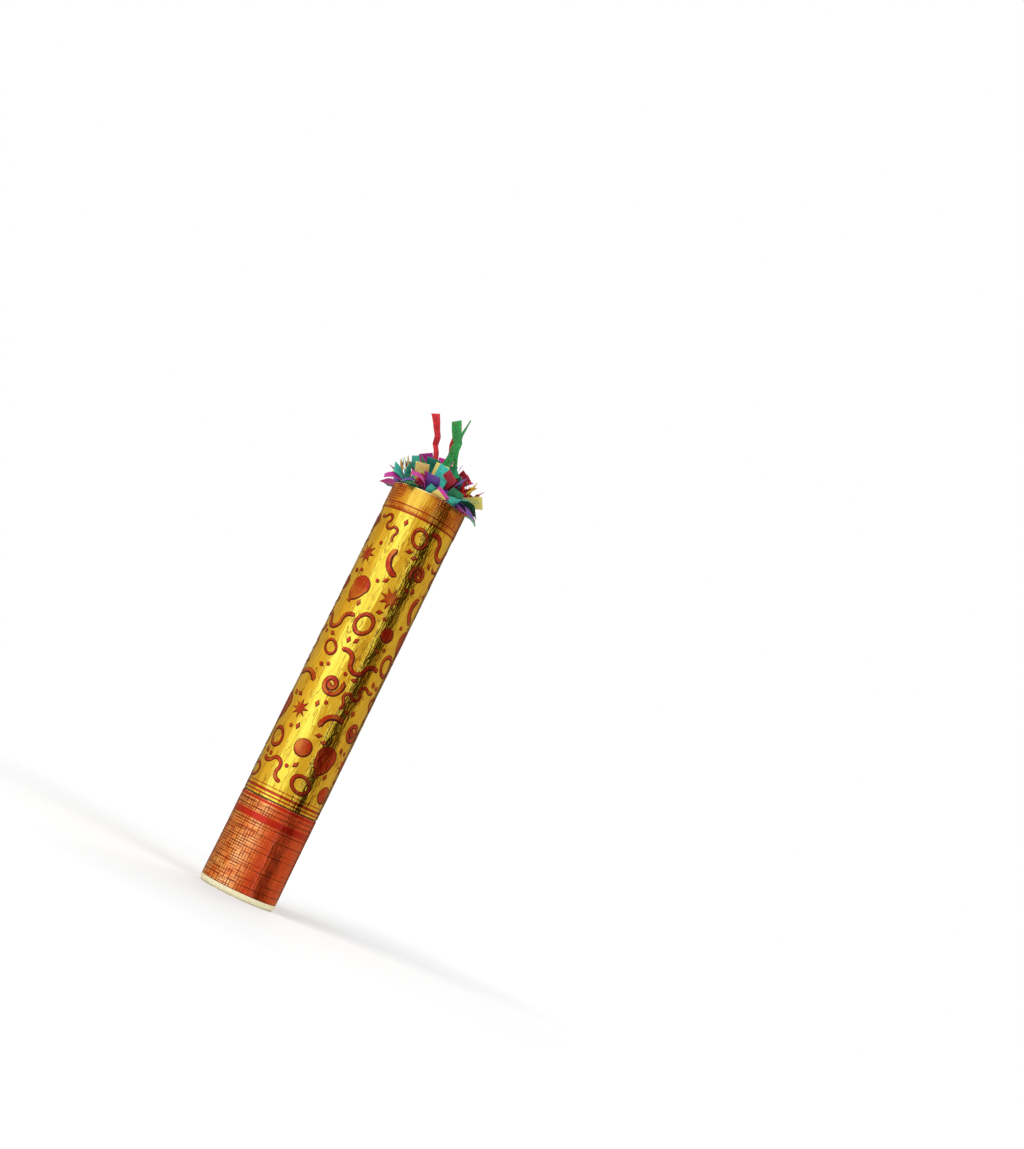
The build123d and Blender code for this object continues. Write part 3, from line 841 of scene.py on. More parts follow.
def clear_the_wall(piece):
    """Lay the paper over the rim or inside the bore, and never in the card between."""
    limit = load_radius - bore_gap
    vertices = piece.data.vertices
    inside = set()
    for vertex in vertices:
        out = math.hypot(vertex.co.x, vertex.co.y)
        if out > band_radius or (out > limit and vertex.co.z > rim - over_the_wall):
            droop = droop_slope * max(out - band_radius - droop_start, 0.0)
            vertex.co.z = max(vertex.co.z, rim + rim_gap - droop)
        elif vertex.co.z < rim + rim_gap:
            vertex.co.z = max(vertex.co.z, pack_low.z + bore_gap)
            inside.add(vertex.index)
    drawn_in = set(inside)
    for face in piece.data.polygons:
        if inside.intersection(face.vertices):
            drawn_in.update(face.vertices)
    for k in drawn_in:
        point = vertices[k].co
        out = math.hypot(point.x, point.y)
        if out > limit:
            point.x *= limit / out
            point.y *= limit / out


paper_pieces = {}
for kind, group in copies.items():
    paper_pieces[kind] = join_pieces("loose_" + kind, group)
    clear_the_wall(paper_pieces[kind])
print("Loose paper:", {kind: len(piece.data.polygons) for kind, piece in paper_pieces.items()})

# %% [markdown]
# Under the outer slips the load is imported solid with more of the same. Nobody sees single slips there, so
# one core with a domed top stands for them, and its finish carries the colours. The dome is the
# cylinder's top face, inset and raised in three steps.

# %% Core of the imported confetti
core_radius = 20.3 * mm
dome_steps = ((3 * mm, 2.0 * mm), (4 * mm, 1.6 * mm), (5 * mm, 1.0 * mm))
start_clean()
bpy.ops.mesh.primitive_cylinder_add(
    vertices=64, radius=core_radius, depth=crown_edge - pack_low.z,
    location=(0, 0, (crown_edge + pack_low.z) / 2))
packed_core = settle("packed_core")
bpy.ops.object.mode_set(mode="EDIT")
pick(packed_core, "FACE", lambda c: c.z > crown_edge - 0.01 * mm)
for width, rise in dome_steps:
    bpy.ops.mesh.inset(thickness=width)
    bpy.ops.transform.translate(value=(0, 0, rise))
bpy.ops.object.mode_set(mode="OBJECT")
bpy.ops.object.shade_smooth_by_angle(angle=math.radians(40))
print("Core top in mm:", round(max(v.co.z for v in packed_core.data.vertices) / mm, 1))

# %% [markdown]
# On the wad stand three rolls of crepe streamer. A roll is a long strip wound on itself: a flat spiral
# curve, given the strip's height by Extrude and then made a mesh, so that Solidify can give the paper its
# thickness.

# %% Wound streamer rolls
rolls_low, rolls_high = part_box("streamer_rolls")
roll_count = 3
roll_spread = 1 / math.sin(math.pi / roll_count)
roll_gap, load_gap = 0.05 * mm, 0.3 * mm
roll_radius = (load_radius - load_gap) / (1 + roll_spread) - roll_gap
roll_from_axis = (roll_radius + roll_gap) * roll_spread
roll_core, roll_trim, strip_trim = 2.5 * mm, 0.3 * mm, 0.2 * mm
crepe_wall = 0.32 * mm
turns, turn_steps = 11, 32


def wind_roll(k, name):
    start_clean()
    spiral = bpy.data.curves.new("spiral", "CURVE")
    spiral.dimensions = "3D"
    spiral.extrude = (rolls_high.z - rolls_low.z) / 2 - strip_trim
    spline = spiral.splines.new("POLY")
    spline.points.add(turns * turn_steps)
    for step, point in enumerate(spline.points):
        angle = 2 * math.pi * step / turn_steps
        radius = roll_core + (roll_radius - roll_core - roll_trim) * step / (turns * turn_steps)
        point.co = (radius * math.cos(angle), radius * math.sin(angle), 0, 1)
    roll = bpy.data.objects.new("roll", spiral)
    bpy.context.collection.objects.link(roll)
    azimuth = 2 * math.pi * k / roll_count
    roll.location = (
        roll_from_axis * math.cos(azimuth), roll_from_axis * math.sin(azimuth),
        (rolls_low.z + rolls_high.z) / 2)
    only(roll)
    bpy.ops.object.convert(target="MESH")
    wound = settle(name)
    apply_modifier(wound, "SOLIDIFY", thickness=crepe_wall, offset=0.0)
    bpy.ops.object.shade_smooth_by_angle(angle=math.radians(40))
    return wound


roll_kinds = ("green", "red", "green")
streamer_rolls = [wind_roll(k, f"wound_{kind}_{k}") for k, kind in enumerate(roll_kinds)]
print("Turns in a roll:", turns)

# %% [markdown]
# The wad's foam is die cut, so its edge bulges a little where the knife pressed it. The rims of a short
# cylinder are bevelled, a cut through its middle gives a ring there, and that ring is scaled out.

# %% Foam of the wad
foam_low, foam_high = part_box("wad_foam")
foam_middle = (foam_low.z + foam_high.z) / 2
foam_gap, foam_bulge = 0.35 * mm, 1.012
start_clean()
bpy.ops.mesh.primitive_cylinder_add(
    vertices=96, radius=load_radius - foam_gap, depth=foam_high.z - foam_low.z, location=(0, 0, foam_middle))
foam_disc = settle("foam_disc")
apply_modifier(
    foam_disc, "BEVEL", width=0.5 * mm, segments=3, limit_method="ANGLE", angle_limit=math.radians(50))
bpy.ops.object.mode_set(mode="EDIT")
bpy.ops.mesh.select_all(action="SELECT")
bpy.ops.mesh.bisect(plane_co=(0, 0, foam_middle), plane_no=(0, 0, 1))
pick(foam_disc, "VERT", lambda c: abs(c.z - foam_middle) < 0.2 * mm)
bpy.ops.transform.resize(value=(foam_bulge, foam_bulge, 1), center_override=(0, 0, foam_middle))
bpy.ops.object.mode_set(mode="OBJECT")
bpy.ops.object.shade_smooth_by_angle(angle=math.radians(40))
print("Foam radius in mm:", round(max(v.co.x for v in foam_disc.data.vertices) / mm, 2))

# %% [markdown]
# ## Finish of the gold film
# The barrel wears polyester film with a vapour of aluminium on it, under a transparent gold lacquer and a
# clear coat. To the eye it is a coloured mirror, slightly brushed: it shows long streaks of whatever
# stands round it. Each pattern is placed by two lengths that follow the film: how far round the tube, and
# how high. The angle comes from the arc tangent of X and -Y, so that the place where it jumps is at the
# back, under the lap.

# %% Lengths along the film
def film_lengths(tree):
    place = add(tree, "ShaderNodeTexCoord").outputs["Object"]
    split = add(tree, "ShaderNodeSeparateXYZ", {0: place})
    front = add(tree, "ShaderNodeMath", {0: split.outputs["Y"], 1: -1.0}, operation="MULTIPLY")
    angle = add(tree, "ShaderNodeMath", {0: split.outputs["X"], 1: front.outputs[0]}, operation="ARCTAN2")
    around = add(tree, "ShaderNodeMath", {0: angle.outputs[0], 1: film_radius}, operation="MULTIPLY")
    flat = add(tree, "ShaderNodeCombineXYZ", {"X": around.outputs[0], "Y": split.outputs["Z"]})
    return around.outputs[0], split.outputs["Z"], flat.outputs[0]


def ring_lines(tree, height, lines):
    """One where a printed ring passes: lines are (height, half width) in metres."""
    total = 0.0
    for level, half in lines:
        hit = add(tree, "ShaderNodeMath", {0: height, 1: level, 2: half}, operation="COMPARE")
        total = add(tree, "ShaderNodeMath", {0: total, 1: hit.outputs[0]}, operation="MAXIMUM").outputs[0]
    return total


def stretched_noise(tree, flat, across, along, detail):
    place = add(tree, "ShaderNodeMapping", {"Vector": flat, "Scale": (1 / across, 1 / along, 1)})
    noise = add(tree, "ShaderNodeTexNoise", {"Vector": place.outputs[0], "Scale": 1.0, "Detail": detail})
    return noise.outputs["Fac"]


print("Film round the tube in mm:", round(2 * film_half / mm, 1))

# %% [markdown]
# Wrapped film is never flat. Noise that is drawn out up the tube gives long shallow creases, a strip
# right of the middle that stayed crumpled, sharp wrinkles, and fine lines from the rollers that the film
# was made on. Each is a Bump node that adds to the one before it, and the roller lines set the roughness
# too.

# %% Relief of the film
strip_middle = 10 * mm


def film_relief(tree, around, flat, shader, rough_low, rough_high):
    """Crease, crumple, wrinkle and brush a film, and return its creases, roller lines and wrinkles."""
    crease = stretched_noise(tree, flat, 6 * mm, 45 * mm, 3.0)
    crinkle = stretched_noise(tree, flat, 2.2 * mm, 8 * mm, 2.5)
    from_strip = add(tree, "ShaderNodeMath", {0: around, 1: strip_middle}, operation="SUBTRACT")
    off_strip = add(tree, "ShaderNodeMath", {0: from_strip.outputs[0]}, operation="ABSOLUTE")
    in_strip = add(tree, "ShaderNodeMapRange", {
        "Value": off_strip.outputs[0], "From Min": 4 * mm, "From Max": 9 * mm, "To Min": 1.0, "To Max": 0.3})
    roller = stretched_noise(tree, flat, 0.8 * mm, 40 * mm, 1.0)
    folds = stretched_noise(tree, flat, 4.5 * mm, 24 * mm, 2.0)
    from_middle = add(tree, "ShaderNodeMath", {0: folds, 1: 0.5}, operation="SUBTRACT")
    either_side = add(tree, "ShaderNodeMath", {0: from_middle.outputs[0]}, operation="ABSOLUTE")
    wrinkle = add(tree, "ShaderNodeMapRange", {
        "Value": either_side.outputs[0], "From Max": 0.022, "To Min": 1.0, "To Max": 0.0}).outputs[0]
    broad = add(tree, "ShaderNodeBump", {"Height": crease, "Distance": 0.6 * mm, "Strength": 0.85})
    uneven = add(tree, "ShaderNodeBump", {
        "Height": crinkle, "Normal": broad.outputs[0], "Distance": 0.4 * mm, "Strength": in_strip.outputs[0]})
    sharp = add(tree, "ShaderNodeBump", {
        "Height": wrinkle, "Normal": uneven.outputs[0], "Distance": 0.06 * mm, "Strength": 0.7})
    fine = add(tree, "ShaderNodeBump", {
        "Height": roller, "Normal": sharp.outputs[0], "Distance": 0.07 * mm, "Strength": 0.75})
    tree.links.new(fine.outputs[0], shader.inputs["Normal"])
    dull = add(tree, "ShaderNodeMapRange", {"Value": roller, "To Min": rough_low, "To Max": rough_high})
    tree.links.new(dull.outputs[0], shader.inputs["Roughness"])
    return crease, roller, wrinkle


print("Crumpled strip, mm to the right of the front:", round(strip_middle / mm))

# %% [markdown]
# The gold is a little paler or deeper with the creases. Brown painted shade darkens the sharp wrinkles,
# more in broad patches. Three rings are printed above the seam between barrel and grip.

# %% Gold film
gold_film, tree, shader = new_finish(
    "metallised_gold_film", Metallic=1.0, Coat_Weight=0.35, Coat_Roughness=0.06)
around, height, flat = film_lengths(tree)
crease, _, wrinkle = film_relief(tree, around, flat, shader, 0.09, 0.21)
gold = add(tree, "ShaderNodeValToRGB", {"Fac": crease}, stops=(
    (0.30, "#E8C636"), (0.70, "#F8E858"), (0.50, "#F2DC48")))
# Painted shade: the sharp wrinkles are darkened brown, more in broad patches of noise
wrinkle_shade_noise = stretched_noise(tree, flat, 16 * mm, 26 * mm, 1.0)
wrinkle_shade_patches = add(tree, "ShaderNodeMapRange", {
    "Value": wrinkle_shade_noise, "From Min": 0.42, "From Max": 0.62, "To Min": 0.3, "To Max": 0.85})
wrinkle_shade = add(tree, "ShaderNodeMath", {0: wrinkle, 1: wrinkle_shade_patches.outputs[0]}, operation="MULTIPLY")
creased = add(tree, "ShaderNodeMix", {
    0: wrinkle_shade.outputs[0], 6: gold.outputs["Color"], 7: paint("#8E5616")}, data_type="RGBA")
seam_rings = ring_lines(tree, height, ((64.6 * mm, 0.5 * mm), (67.2 * mm, 0.9 * mm), (70.0 * mm, 0.3 * mm)))
tinted = add(tree, "ShaderNodeMix", {
    0: seam_rings, 6: creased.outputs[2], 7: paint("#B5401C")}, data_type="RGBA")
tree.links.new(tinted.outputs[2], shader.inputs["Base Color"])
finish_piece(barrel_skin, "barrel", "gold_film", gold_film, "barrel_film")

# %% [markdown]
# The band round the mouth and the grip are cross hatched, as if sketched with a pen. A sine of the height
# gives level lines, and a sine of the way round gives upright ones. A noise that is drawn out along the
# lines lets each of them start, swell and stop.

# %% Pen lines
level_pitch, upright_pitch = 1.7 * mm, 1.9 * mm


def pen_lines(tree, across, flat, pitch, stretch):
    """Broken dark lines: across is the length that counts them, stretch the noise's size each way."""
    turns = add(tree, "ShaderNodeMath", {0: across, 1: 2 * math.pi / pitch}, operation="MULTIPLY")
    wave = add(tree, "ShaderNodeMath", {0: turns.outputs[0]}, operation="SINE")
    thin = add(tree, "ShaderNodeMapRange", {"Value": wave.outputs[0], "From Min": 0.1, "From Max": 0.8})
    noise = stretched_noise(tree, flat, *stretch, 1.0)
    drawn = add(tree, "ShaderNodeMapRange", {"Value": noise, "From Min": 0.38, "From Max": 0.54})
    inked = add(tree, "ShaderNodeMath", {0: thin.outputs[0], 1: drawn.outputs[0]}, operation="MULTIPLY")
    return inked.outputs[0]


def cross_hatch(tree, around, height, flat):
    level_lines = pen_lines(tree, height, flat, level_pitch, (7 * mm, level_pitch))
    upright_lines = pen_lines(tree, around, flat, upright_pitch, (upright_pitch, 8 * mm))
    both = add(tree, "ShaderNodeMath", {0: level_lines, 1: upright_lines}, operation="MAXIMUM")
    return both.outputs[0]


print("Pen lines in mm: level", round(level_pitch / mm, 1), "upright", round(upright_pitch / mm, 1))

# %% [markdown]
# The mouth band is the same film with a warmer lacquer: an orange wash and the hatch in patches, two
# printed rings, and a pale line of painted highlight along its top edge.

# %% Mouth band
band_film, tree, shader = new_finish(
    "metallised_amber_film", Metallic=1.0, Coat_Weight=0.3, Coat_Roughness=0.08)
around, height, flat = film_lengths(tree)
_, roller, _ = film_relief(tree, around, flat, shader, 0.2, 0.34)
amber = add(tree, "ShaderNodeValToRGB", {"Fac": roller}, stops=((0.3, "#E0A838"), (0.7, "#F6D450")))
patch_noise = add(tree, "ShaderNodeTexNoise", {"Vector": flat, "Scale": 1 / (14 * mm), "Detail": 1.0})
patches = add(tree, "ShaderNodeMapRange", {
    "Value": patch_noise.outputs["Fac"], "From Min": 0.36, "From Max": 0.56})
wash = add(tree, "ShaderNodeMath", {0: patches.outputs[0], 1: 0.6}, operation="MULTIPLY")
washed = add(tree, "ShaderNodeMix", {
    0: wash.outputs[0], 6: amber.outputs["Color"], 7: paint("#DC7E2E")}, data_type="RGBA")
hatch = add(tree, "ShaderNodeMath", {
    0: cross_hatch(tree, around, height, flat), 1: patches.outputs[0]}, operation="MULTIPLY")
hatched = add(tree, "ShaderNodeMix", {
    0: hatch.outputs[0], 6: washed.outputs[2], 7: paint("#9A3412")}, data_type="RGBA")
band_rings = ring_lines(tree, height, ((262.8 * mm, 0.6 * mm), (267.0 * mm, 0.45 * mm)))
tinted = add(tree, "ShaderNodeMix", {
    0: band_rings, 6: hatched.outputs[2], 7: paint("#A8401A")}, data_type="RGBA")
# Painted highlight: a pale line along the top edge at the rim
edge_highlight = ring_lines(tree, height, ((rim, 0.5 * mm),))
highlighted = add(tree, "ShaderNodeMix", {
    0: edge_highlight, 6: tinted.outputs[2], 7: paint("#FFF2C4")}, data_type="RGBA")
tree.links.new(highlighted.outputs[2], shader.inputs["Base Color"])
finish_piece(mouth_band, "barrel", "gold_film", band_film, "muzzle_band")

# %% [markdown]
# The party shapes are a red lacquer on the same mirror, so they stay metallic, with a maroon key line
# round them. The lacquer is thin in places and brushed, so gold shines through it.

# %% Key line and red lacquer
finish_piece(key_line, "barrel", "red_film", grained(
    "maroon_key_line_ink", "#6A160C", "#460C06", 3 * mm, 0.3, 0.42, 0.01 * mm, Metallic=0.6))
red_lacquer, tree, shader = new_finish(
    "red_lacquer_on_film", Metallic=0.92, Coat_Weight=0.3, Coat_Roughness=0.08)
around, _, flat = film_lengths(tree)
crease, _, _ = film_relief(tree, around, flat, shader, 0.22, 0.36)
red = add(tree, "ShaderNodeValToRGB", {"Fac": crease}, stops=((0.35, "#A6220E"), (0.65, "#C43C1C")))
ink = add(tree, "ShaderNodeTexNoise", {"Vector": flat, "Scale": 1 / (15 * mm), "Detail": 2.0})
thin = add(tree, "ShaderNodeMapRange", {
    "Value": ink.outputs["Fac"], "From Min": 0.5, "From Max": 0.68, "To Max": 0.55})
brushed = stretched_noise(tree, flat, 0.9 * mm, 8 * mm, 2.0)
streak = add(tree, "ShaderNodeMapRange", {"Value": brushed, "From Min": 0.52, "From Max": 0.7, "To Max": 0.5})
bare = add(tree, "ShaderNodeMath", {0: thin.outputs[0], 1: streak.outputs[0]}, operation="MAXIMUM")
inked = add(tree, "ShaderNodeMix", {
    0: bare.outputs[0], 6: red.outputs["Color"], 7: paint("#DC9436")}, data_type="RGBA")
tree.links.new(inked.outputs[2], shader.inputs["Base Color"])
finish_piece(red_print, "barrel", "red_film", red_lacquer)

# %% [markdown]
# ## Finish of the grip
# The grip's film is red and orange over the same mirror, cross hatched all round but for its right side,
# where the hatch fades out. A red stripe and thin printed rings run round it, and at its foot a dark line
# of painted shadow where it meets the base cap. The ink is uneven, so the rings and that line fade in places.

# %% Grip film
grip_film, tree, shader = new_finish(
    "metallised_red_film", Metallic=0.9, Coat_Weight=0.3, Coat_Roughness=0.08)
around, height, flat = film_lengths(tree)
crease, _, _ = film_relief(tree, around, flat, shader, 0.24, 0.38)
hatch = cross_hatch(tree, around, height, flat)
ink_cover = add(tree, "ShaderNodeTexNoise", {"Vector": flat, "Scale": 1 / (9 * mm), "Detail": 2.0})
orange = add(tree, "ShaderNodeValToRGB", {"Fac": ink_cover.outputs["Fac"]}, stops=(
    (0.35, "#E87C32"), (0.65, "#FFC076")))
print("Nodes in the grip's film so far:", len(tree.nodes))

# %% Plain side, stripe and rings of the grip film
ground = add(tree, "ShaderNodeValToRGB", {"Fac": crease}, stops=((0.35, "#DE4820"), (0.65, "#F26438")))
edge_drift = add(tree, "ShaderNodeMath", {
    0: ink_cover.outputs["Fac"], 1: 16 * mm, 2: around}, operation="MULTIPLY_ADD")
plain_side = add(tree, "ShaderNodeMapRange", {
    "Value": edge_drift.outputs[0], "From Min": 2 * mm, "From Max": 11 * mm, "To Max": 0.9})
ground_colour = add(tree, "ShaderNodeMix", {
    0: plain_side.outputs[0], 6: orange.outputs["Color"], 7: ground.outputs["Color"]}, data_type="RGBA")
hatch_fade = add(tree, "ShaderNodeMapRange", {"Value": plain_side.outputs[0], "To Min": 1.0, "To Max": 0.3})
hatch_ink = add(tree, "ShaderNodeMath", {0: hatch, 1: hatch_fade.outputs[0]}, operation="MULTIPLY")
skin_colour = add(tree, "ShaderNodeMix", {
    0: hatch_ink.outputs[0], 6: ground_colour.outputs[2], 7: paint("#7E1C0C")}, data_type="RGBA")
stripe = ring_lines(tree, height, ((50.2 * mm, 2.0 * mm), (60.4 * mm, 0.7 * mm)))
striped = add(tree, "ShaderNodeMix", {
    0: stripe, 6: skin_colour.outputs[2], 7: paint("#C42A18")}, data_type="RGBA")
# The first ring, at 4.3 mm, is painted shadow where the film meets the base cap; the rest are print
grip_rings_and_shadow_mm = (
    (4.3, 0.35), (8.4, 0.3), (13.0, 0.25), (19.6, 0.3), (22.5, 0.2), (31.0, 0.35),
    (34.2, 0.2), (40.5, 0.3), (46.4, 0.4), (54.5, 0.4), (57.6, 0.3))
rings_and_shadow_line = ring_lines(tree, height, [(level * mm, half * mm) for level, half in grip_rings_and_shadow_mm])
ring_ink = add(tree, "ShaderNodeMapRange", {
    "Value": ink_cover.outputs["Fac"], "From Min": 0.35, "From Max": 0.6, "To Min": 0.35, "To Max": 0.9})
inked_rings_and_shadow = add(tree, "ShaderNodeMath", {0: rings_and_shadow_line, 1: ring_ink.outputs[0]}, operation="MULTIPLY")
ringed_and_shadowed = add(tree, "ShaderNodeMix", {
    0: inked_rings_and_shadow.outputs[0], 6: striped.outputs[2], 7: paint("#6E180E")}, data_type="RGBA")
tree.links.new(ringed_and_shadowed.outputs[2], shader.inputs["Base Color"])
finish_piece(grip_skin, "grip", "red_film", grip_film, "grip_film")

# %% [markdown]
# ## Card
# The tubes are wound from strips of grey-brown card, glued in a spiral. The eye sees flecks of fibre, a
# faint spiral joint in the bore, and on the cut edge the plies as thin rings. A ply is 0.4 mm thick.

# %% Card tubes and the wad's board
ply, joint_pitch = 0.42 * mm, 35.3 * mm
card, tree, shader = new_finish("spiral_wound_card", Roughness=0.85)
place = add(tree, "ShaderNodeTexCoord").outputs["Object"]
fibre = add(tree, "ShaderNodeTexNoise", {"Vector": place, "Scale": 1 / (1.1 * mm), "Detail": 4.0})
board = add(tree, "ShaderNodeValToRGB", {"Fac": fibre.outputs["Fac"]}, stops=(
    (0.3, "#C9B88E"), (0.7, "#E6DAB8")))
across = add(tree, "ShaderNodeVectorMath", {0: place, 1: (1, 1, 0)}, operation="MULTIPLY")
from_axis = add(tree, "ShaderNodeVectorMath", {0: across.outputs[0]}, operation="LENGTH")
plies = add(tree, "ShaderNodeMath", {
    0: from_axis.outputs["Value"], 1: 2 * math.pi / ply}, operation="MULTIPLY")
ply_wave = add(tree, "ShaderNodeMath", {0: plies.outputs[0]}, operation="SINE")
ply_dark = add(tree, "ShaderNodeMapRange", {
    "Value": ply_wave.outputs[0], "From Min": 0.3, "From Max": 1.0, "To Max": 0.45})
around, height, _ = film_lengths(tree)
spiral = add(tree, "ShaderNodeMath", {0: around, 1: 0.45, 2: height}, operation="MULTIPLY_ADD")
joint = add(tree, "ShaderNodeMath", {0: spiral.outputs[0], 1: joint_pitch}, operation="WRAP")
joint_line = add(tree, "ShaderNodeMath", {0: joint.outputs[0], 1: 17 * mm, 2: 0.4 * mm}, operation="COMPARE")
dark_card = add(tree, "ShaderNodeMath", {
    0: ply_dark.outputs[0], 1: joint_line.outputs[0]}, operation="MAXIMUM")
shade = add(tree, "ShaderNodeMix", {
    0: dark_card.outputs[0], 6: board.outputs["Color"], 7: paint("#A8946A")}, data_type="RGBA")
tree.links.new(shade.outputs[2], shader.inputs["Base Color"])
rough = add(tree, "ShaderNodeBump", {"Height": fibre.outputs["Fac"], "Distance": 0.15 * mm, "Strength": 0.4})
tree.links.new(rough.outputs[0], shader.inputs["Normal"])


def dress(material, *names):
    """Give CAD nodes their finish. Their meshes stay as they are."""
    for name in names:
        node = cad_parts[name]
        node.data.materials.clear()
        node.data.materials.append(material)
    print(material.name, "on", ", ".join(names))


dress(card, "grip_tube", "barrel_tube", "wad_board")

# %% [markdown]
# ## Moulded, spun and rubber pieces
# The base cap is moulded in cream ABS and the mechanism in white and black plastic. Moulded plastic has a
# faint orange-peel gloss. The bottle is aluminium spun on a lathe, so fine rings run round it. The seals
# are black rubber with a dusty bloom. These finishes share one recipe: a noise of the right grain drives
# colour, roughness and relief.

# %% Plastics, rubber, steel and foam
# Moulded ABS: an even cream with soft gloss
dress(grained("moulded_cream_abs", "#F3ECC8", "#E9DFB2", 1.6 * mm, 0.28, 0.42, 0.03 * mm, IOR=1.53),
      "base_cap")
# Black polypropylene: waxy, never quite black
dress(grained("moulded_black_polypropylene", "#1E1E1F", "#141415", 1.2 * mm, 0.42, 0.6, 0.04 * mm, IOR=1.49),
      "slip_washer", "coupler", "retaining_ring")
# White ABS of the mechanism: semi-matt from a spark-eroded mould
dress(grained("moulded_white_abs", "#F0EFEA", "#E4E3DC", 0.8 * mm, 0.4, 0.55, 0.04 * mm, IOR=1.53),
      "valve_tower", "bung_stem", "bulkhead", "cam_sleeve")
# Spun aluminium: rings from the spinning tool, drawn 0.5 mm apart so that they show
dress(grained("spun_aluminium", "#D6D8DA", "#BFC2C4", 0.5 * mm, 0.24, 0.4, 0.02 * mm,
              (0.02, 0.02, 1), Metallic=1.0),
      "air_bottle", "crimp_ferrule")
# Nitrile rubber: dull black with a grey bloom
dress(grained("moulded_nitrile_rubber", "#2A2A2A", "#181818", 0.7 * mm, 0.62, 0.85, 0.05 * mm, IOR=1.52),
      "fill_valve", "bottle_bands", "neck_gasket", "bung_seal")
# Ground steel: drawn lines along the pin
dress(grained("ground_steel", "#C4C6C8", "#A4A7AA", 0.4 * mm, 0.22, 0.36, 0.01 * mm,
              (0.05, 1, 1), Metallic=1.0),
      "cross_pin")
# Closed-cell foam: off-white, matt, with cells about 1 mm across
foam = grained("closed_cell_foam", "#EFEDE4", "#D2CFC2", 1.0 * mm, 0.85, 0.95, 0.3 * mm)
finish_piece(foam_disc, "load", "wad_foam", foam, "wad_foam")

# %% [markdown]
# ## Tissue paper and foil
# Tissue is dyed in the mass and thin, so it glows a little and shows cloudy fibres about 2 mm across.
# Crepe streamers add fine cross wrinkles. The stars are punched from foil, a coloured mirror like the
# film.

# %% Tissue, crepe and foil
tissue_dyes = {
    "red": ("#D6213A", "#A8142A"), "yellow": ("#FBEC8C", "#F0D45C"), "green": ("#1E9A62", "#0E7044"),
    "teal": ("#3FC3AC", "#1E9186"), "purple": ("#6A3AA6", "#46227E"), "magenta": ("#D41E9E", "#9E1078"),
}
tissue = {}
for kind, (pale, dark) in tissue_dyes.items():
    tissue[kind] = grained("tissue_" + kind, pale, dark, 2.2 * mm, 0.7, 0.9, 0.12 * mm, Sheen_Weight=0.15)
    finish_piece(paper_pieces[kind], "load", "paper_" + kind, tissue[kind], "slips_" + kind)

crepe = {}
for kind, (pale, dark) in {"green": ("#1FA04A", "#0B6B2A"), "red": ("#D8202C", "#9A0F1C")}.items():
    crepe[kind] = grained(
        "crepe_" + kind, pale, dark, 0.9 * mm, 0.65, 0.85, 0.25 * mm, (0.25, 0.25, 1), Sheen_Weight=0.2)
    finish_piece(paper_pieces["streamer_" + kind], "load", "paper_" + kind, crepe[kind], "streamers_" + kind)
for kind, roll in zip(roll_kinds, streamer_rolls):
    finish_piece(roll, "load", "paper_" + kind, crepe[kind], "streamer_rolls")

star_foils = {
    "blue": ("#2E9AC8", "#1C74A8"), "yellow": ("#F2D94E", "#D8B22C"), "red": ("#E0303C", "#B01828"),
    "green": ("#3AA85C", "#1F7A3E"),
}
for kind, (pale, dark) in star_foils.items():
    foil = grained("punched_foil_" + kind, pale, dark, 3 * mm, 0.2, 0.34, 0.05 * mm, Metallic=0.8)
    finish_piece(paper_pieces["star_" + kind], "load", "star_foil", foil, "foil_stars")

# %% [markdown]
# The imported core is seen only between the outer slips. A texture of cells about the size of a slip's
# edge, each in one of the tissue colours, looks like more slips behind.

# %% Packed core
cell_width, cell_height = 7 * mm, 4 * mm
packed, tree, shader = new_finish("packed_tissue", Roughness=0.85)
place = add(tree, "ShaderNodeTexCoord").outputs["Object"]
scaled = add(tree, "ShaderNodeMapping", {
    "Vector": place, "Scale": (1 / cell_width, 1 / cell_width, 1 / cell_height)})
cells = add(tree, "ShaderNodeTexVoronoi", {"Vector": scaled.outputs[0], "Scale": 1.0})
cell_pick = add(tree, "ShaderNodeSeparateColor", {0: cells.outputs["Color"]})
colours = add(tree, "ShaderNodeValToRGB", {"Fac": cell_pick.outputs[0]}, stops=(
    (0.0, "#A8142A"), (0.84, "#9E1078"), (0.17, "#E2C24E"),
    (0.34, "#0F6A46"), (0.5, "#1E9186"), (0.67, "#46227E")))
colours.color_ramp.interpolation = "CONSTANT"
tree.links.new(colours.outputs["Color"], shader.inputs["Base Color"])
cell_edge = add(tree, "ShaderNodeBump", {
    "Height": cells.outputs["Distance"], "Distance": 1.0 * mm, "Strength": 0.8})
tree.links.new(cell_edge.outputs[0], shader.inputs["Normal"])
finish_piece(packed_core, "load", "paper_mixed", packed, "confetti_pack")

# %% [markdown]
# ## Light
# Plain soft studio light comes from an even pale surrounding and three lamps over a pale floor. What is
# seen directly, or in a mirror, is white, while the light that falls on the popper stays at a plain
# level. The Light Path node tells the two apart. The floor glows more the farther it is from the popper,
# so that it runs into the white behind.

# %% Surroundings
scene = bpy.context.scene
scene.view_settings.view_transform = "Standard"


def seen_directly(tree):
    path = add(tree, "ShaderNodeLightPath")
    pair = add(tree, "ShaderNodeMath", {
        0: path.outputs["Is Camera Ray"], 1: path.outputs["Is Glossy Ray"]}, operation="MAXIMUM")
    seen = add(tree, "ShaderNodeMath", {
        0: pair.outputs[0], 1: path.outputs["Is Transmission Ray"]}, operation="MAXIMUM")
    return seen.outputs[0]


world = bpy.data.worlds.new("studio")
scene.world = world
tree = bare_tree(world)
level = add(tree, "ShaderNodeMapRange", {"Value": seen_directly(tree), "To Min": 0.5, "To Max": 1.0})
sky = add(tree, "ShaderNodeBackground", {"Color": (1, 1, 1, 1), "Strength": level.outputs[0]})
add(tree, "ShaderNodeOutputWorld", {"Surface": sky.outputs[0]})
print("Surroundings:", world.name)

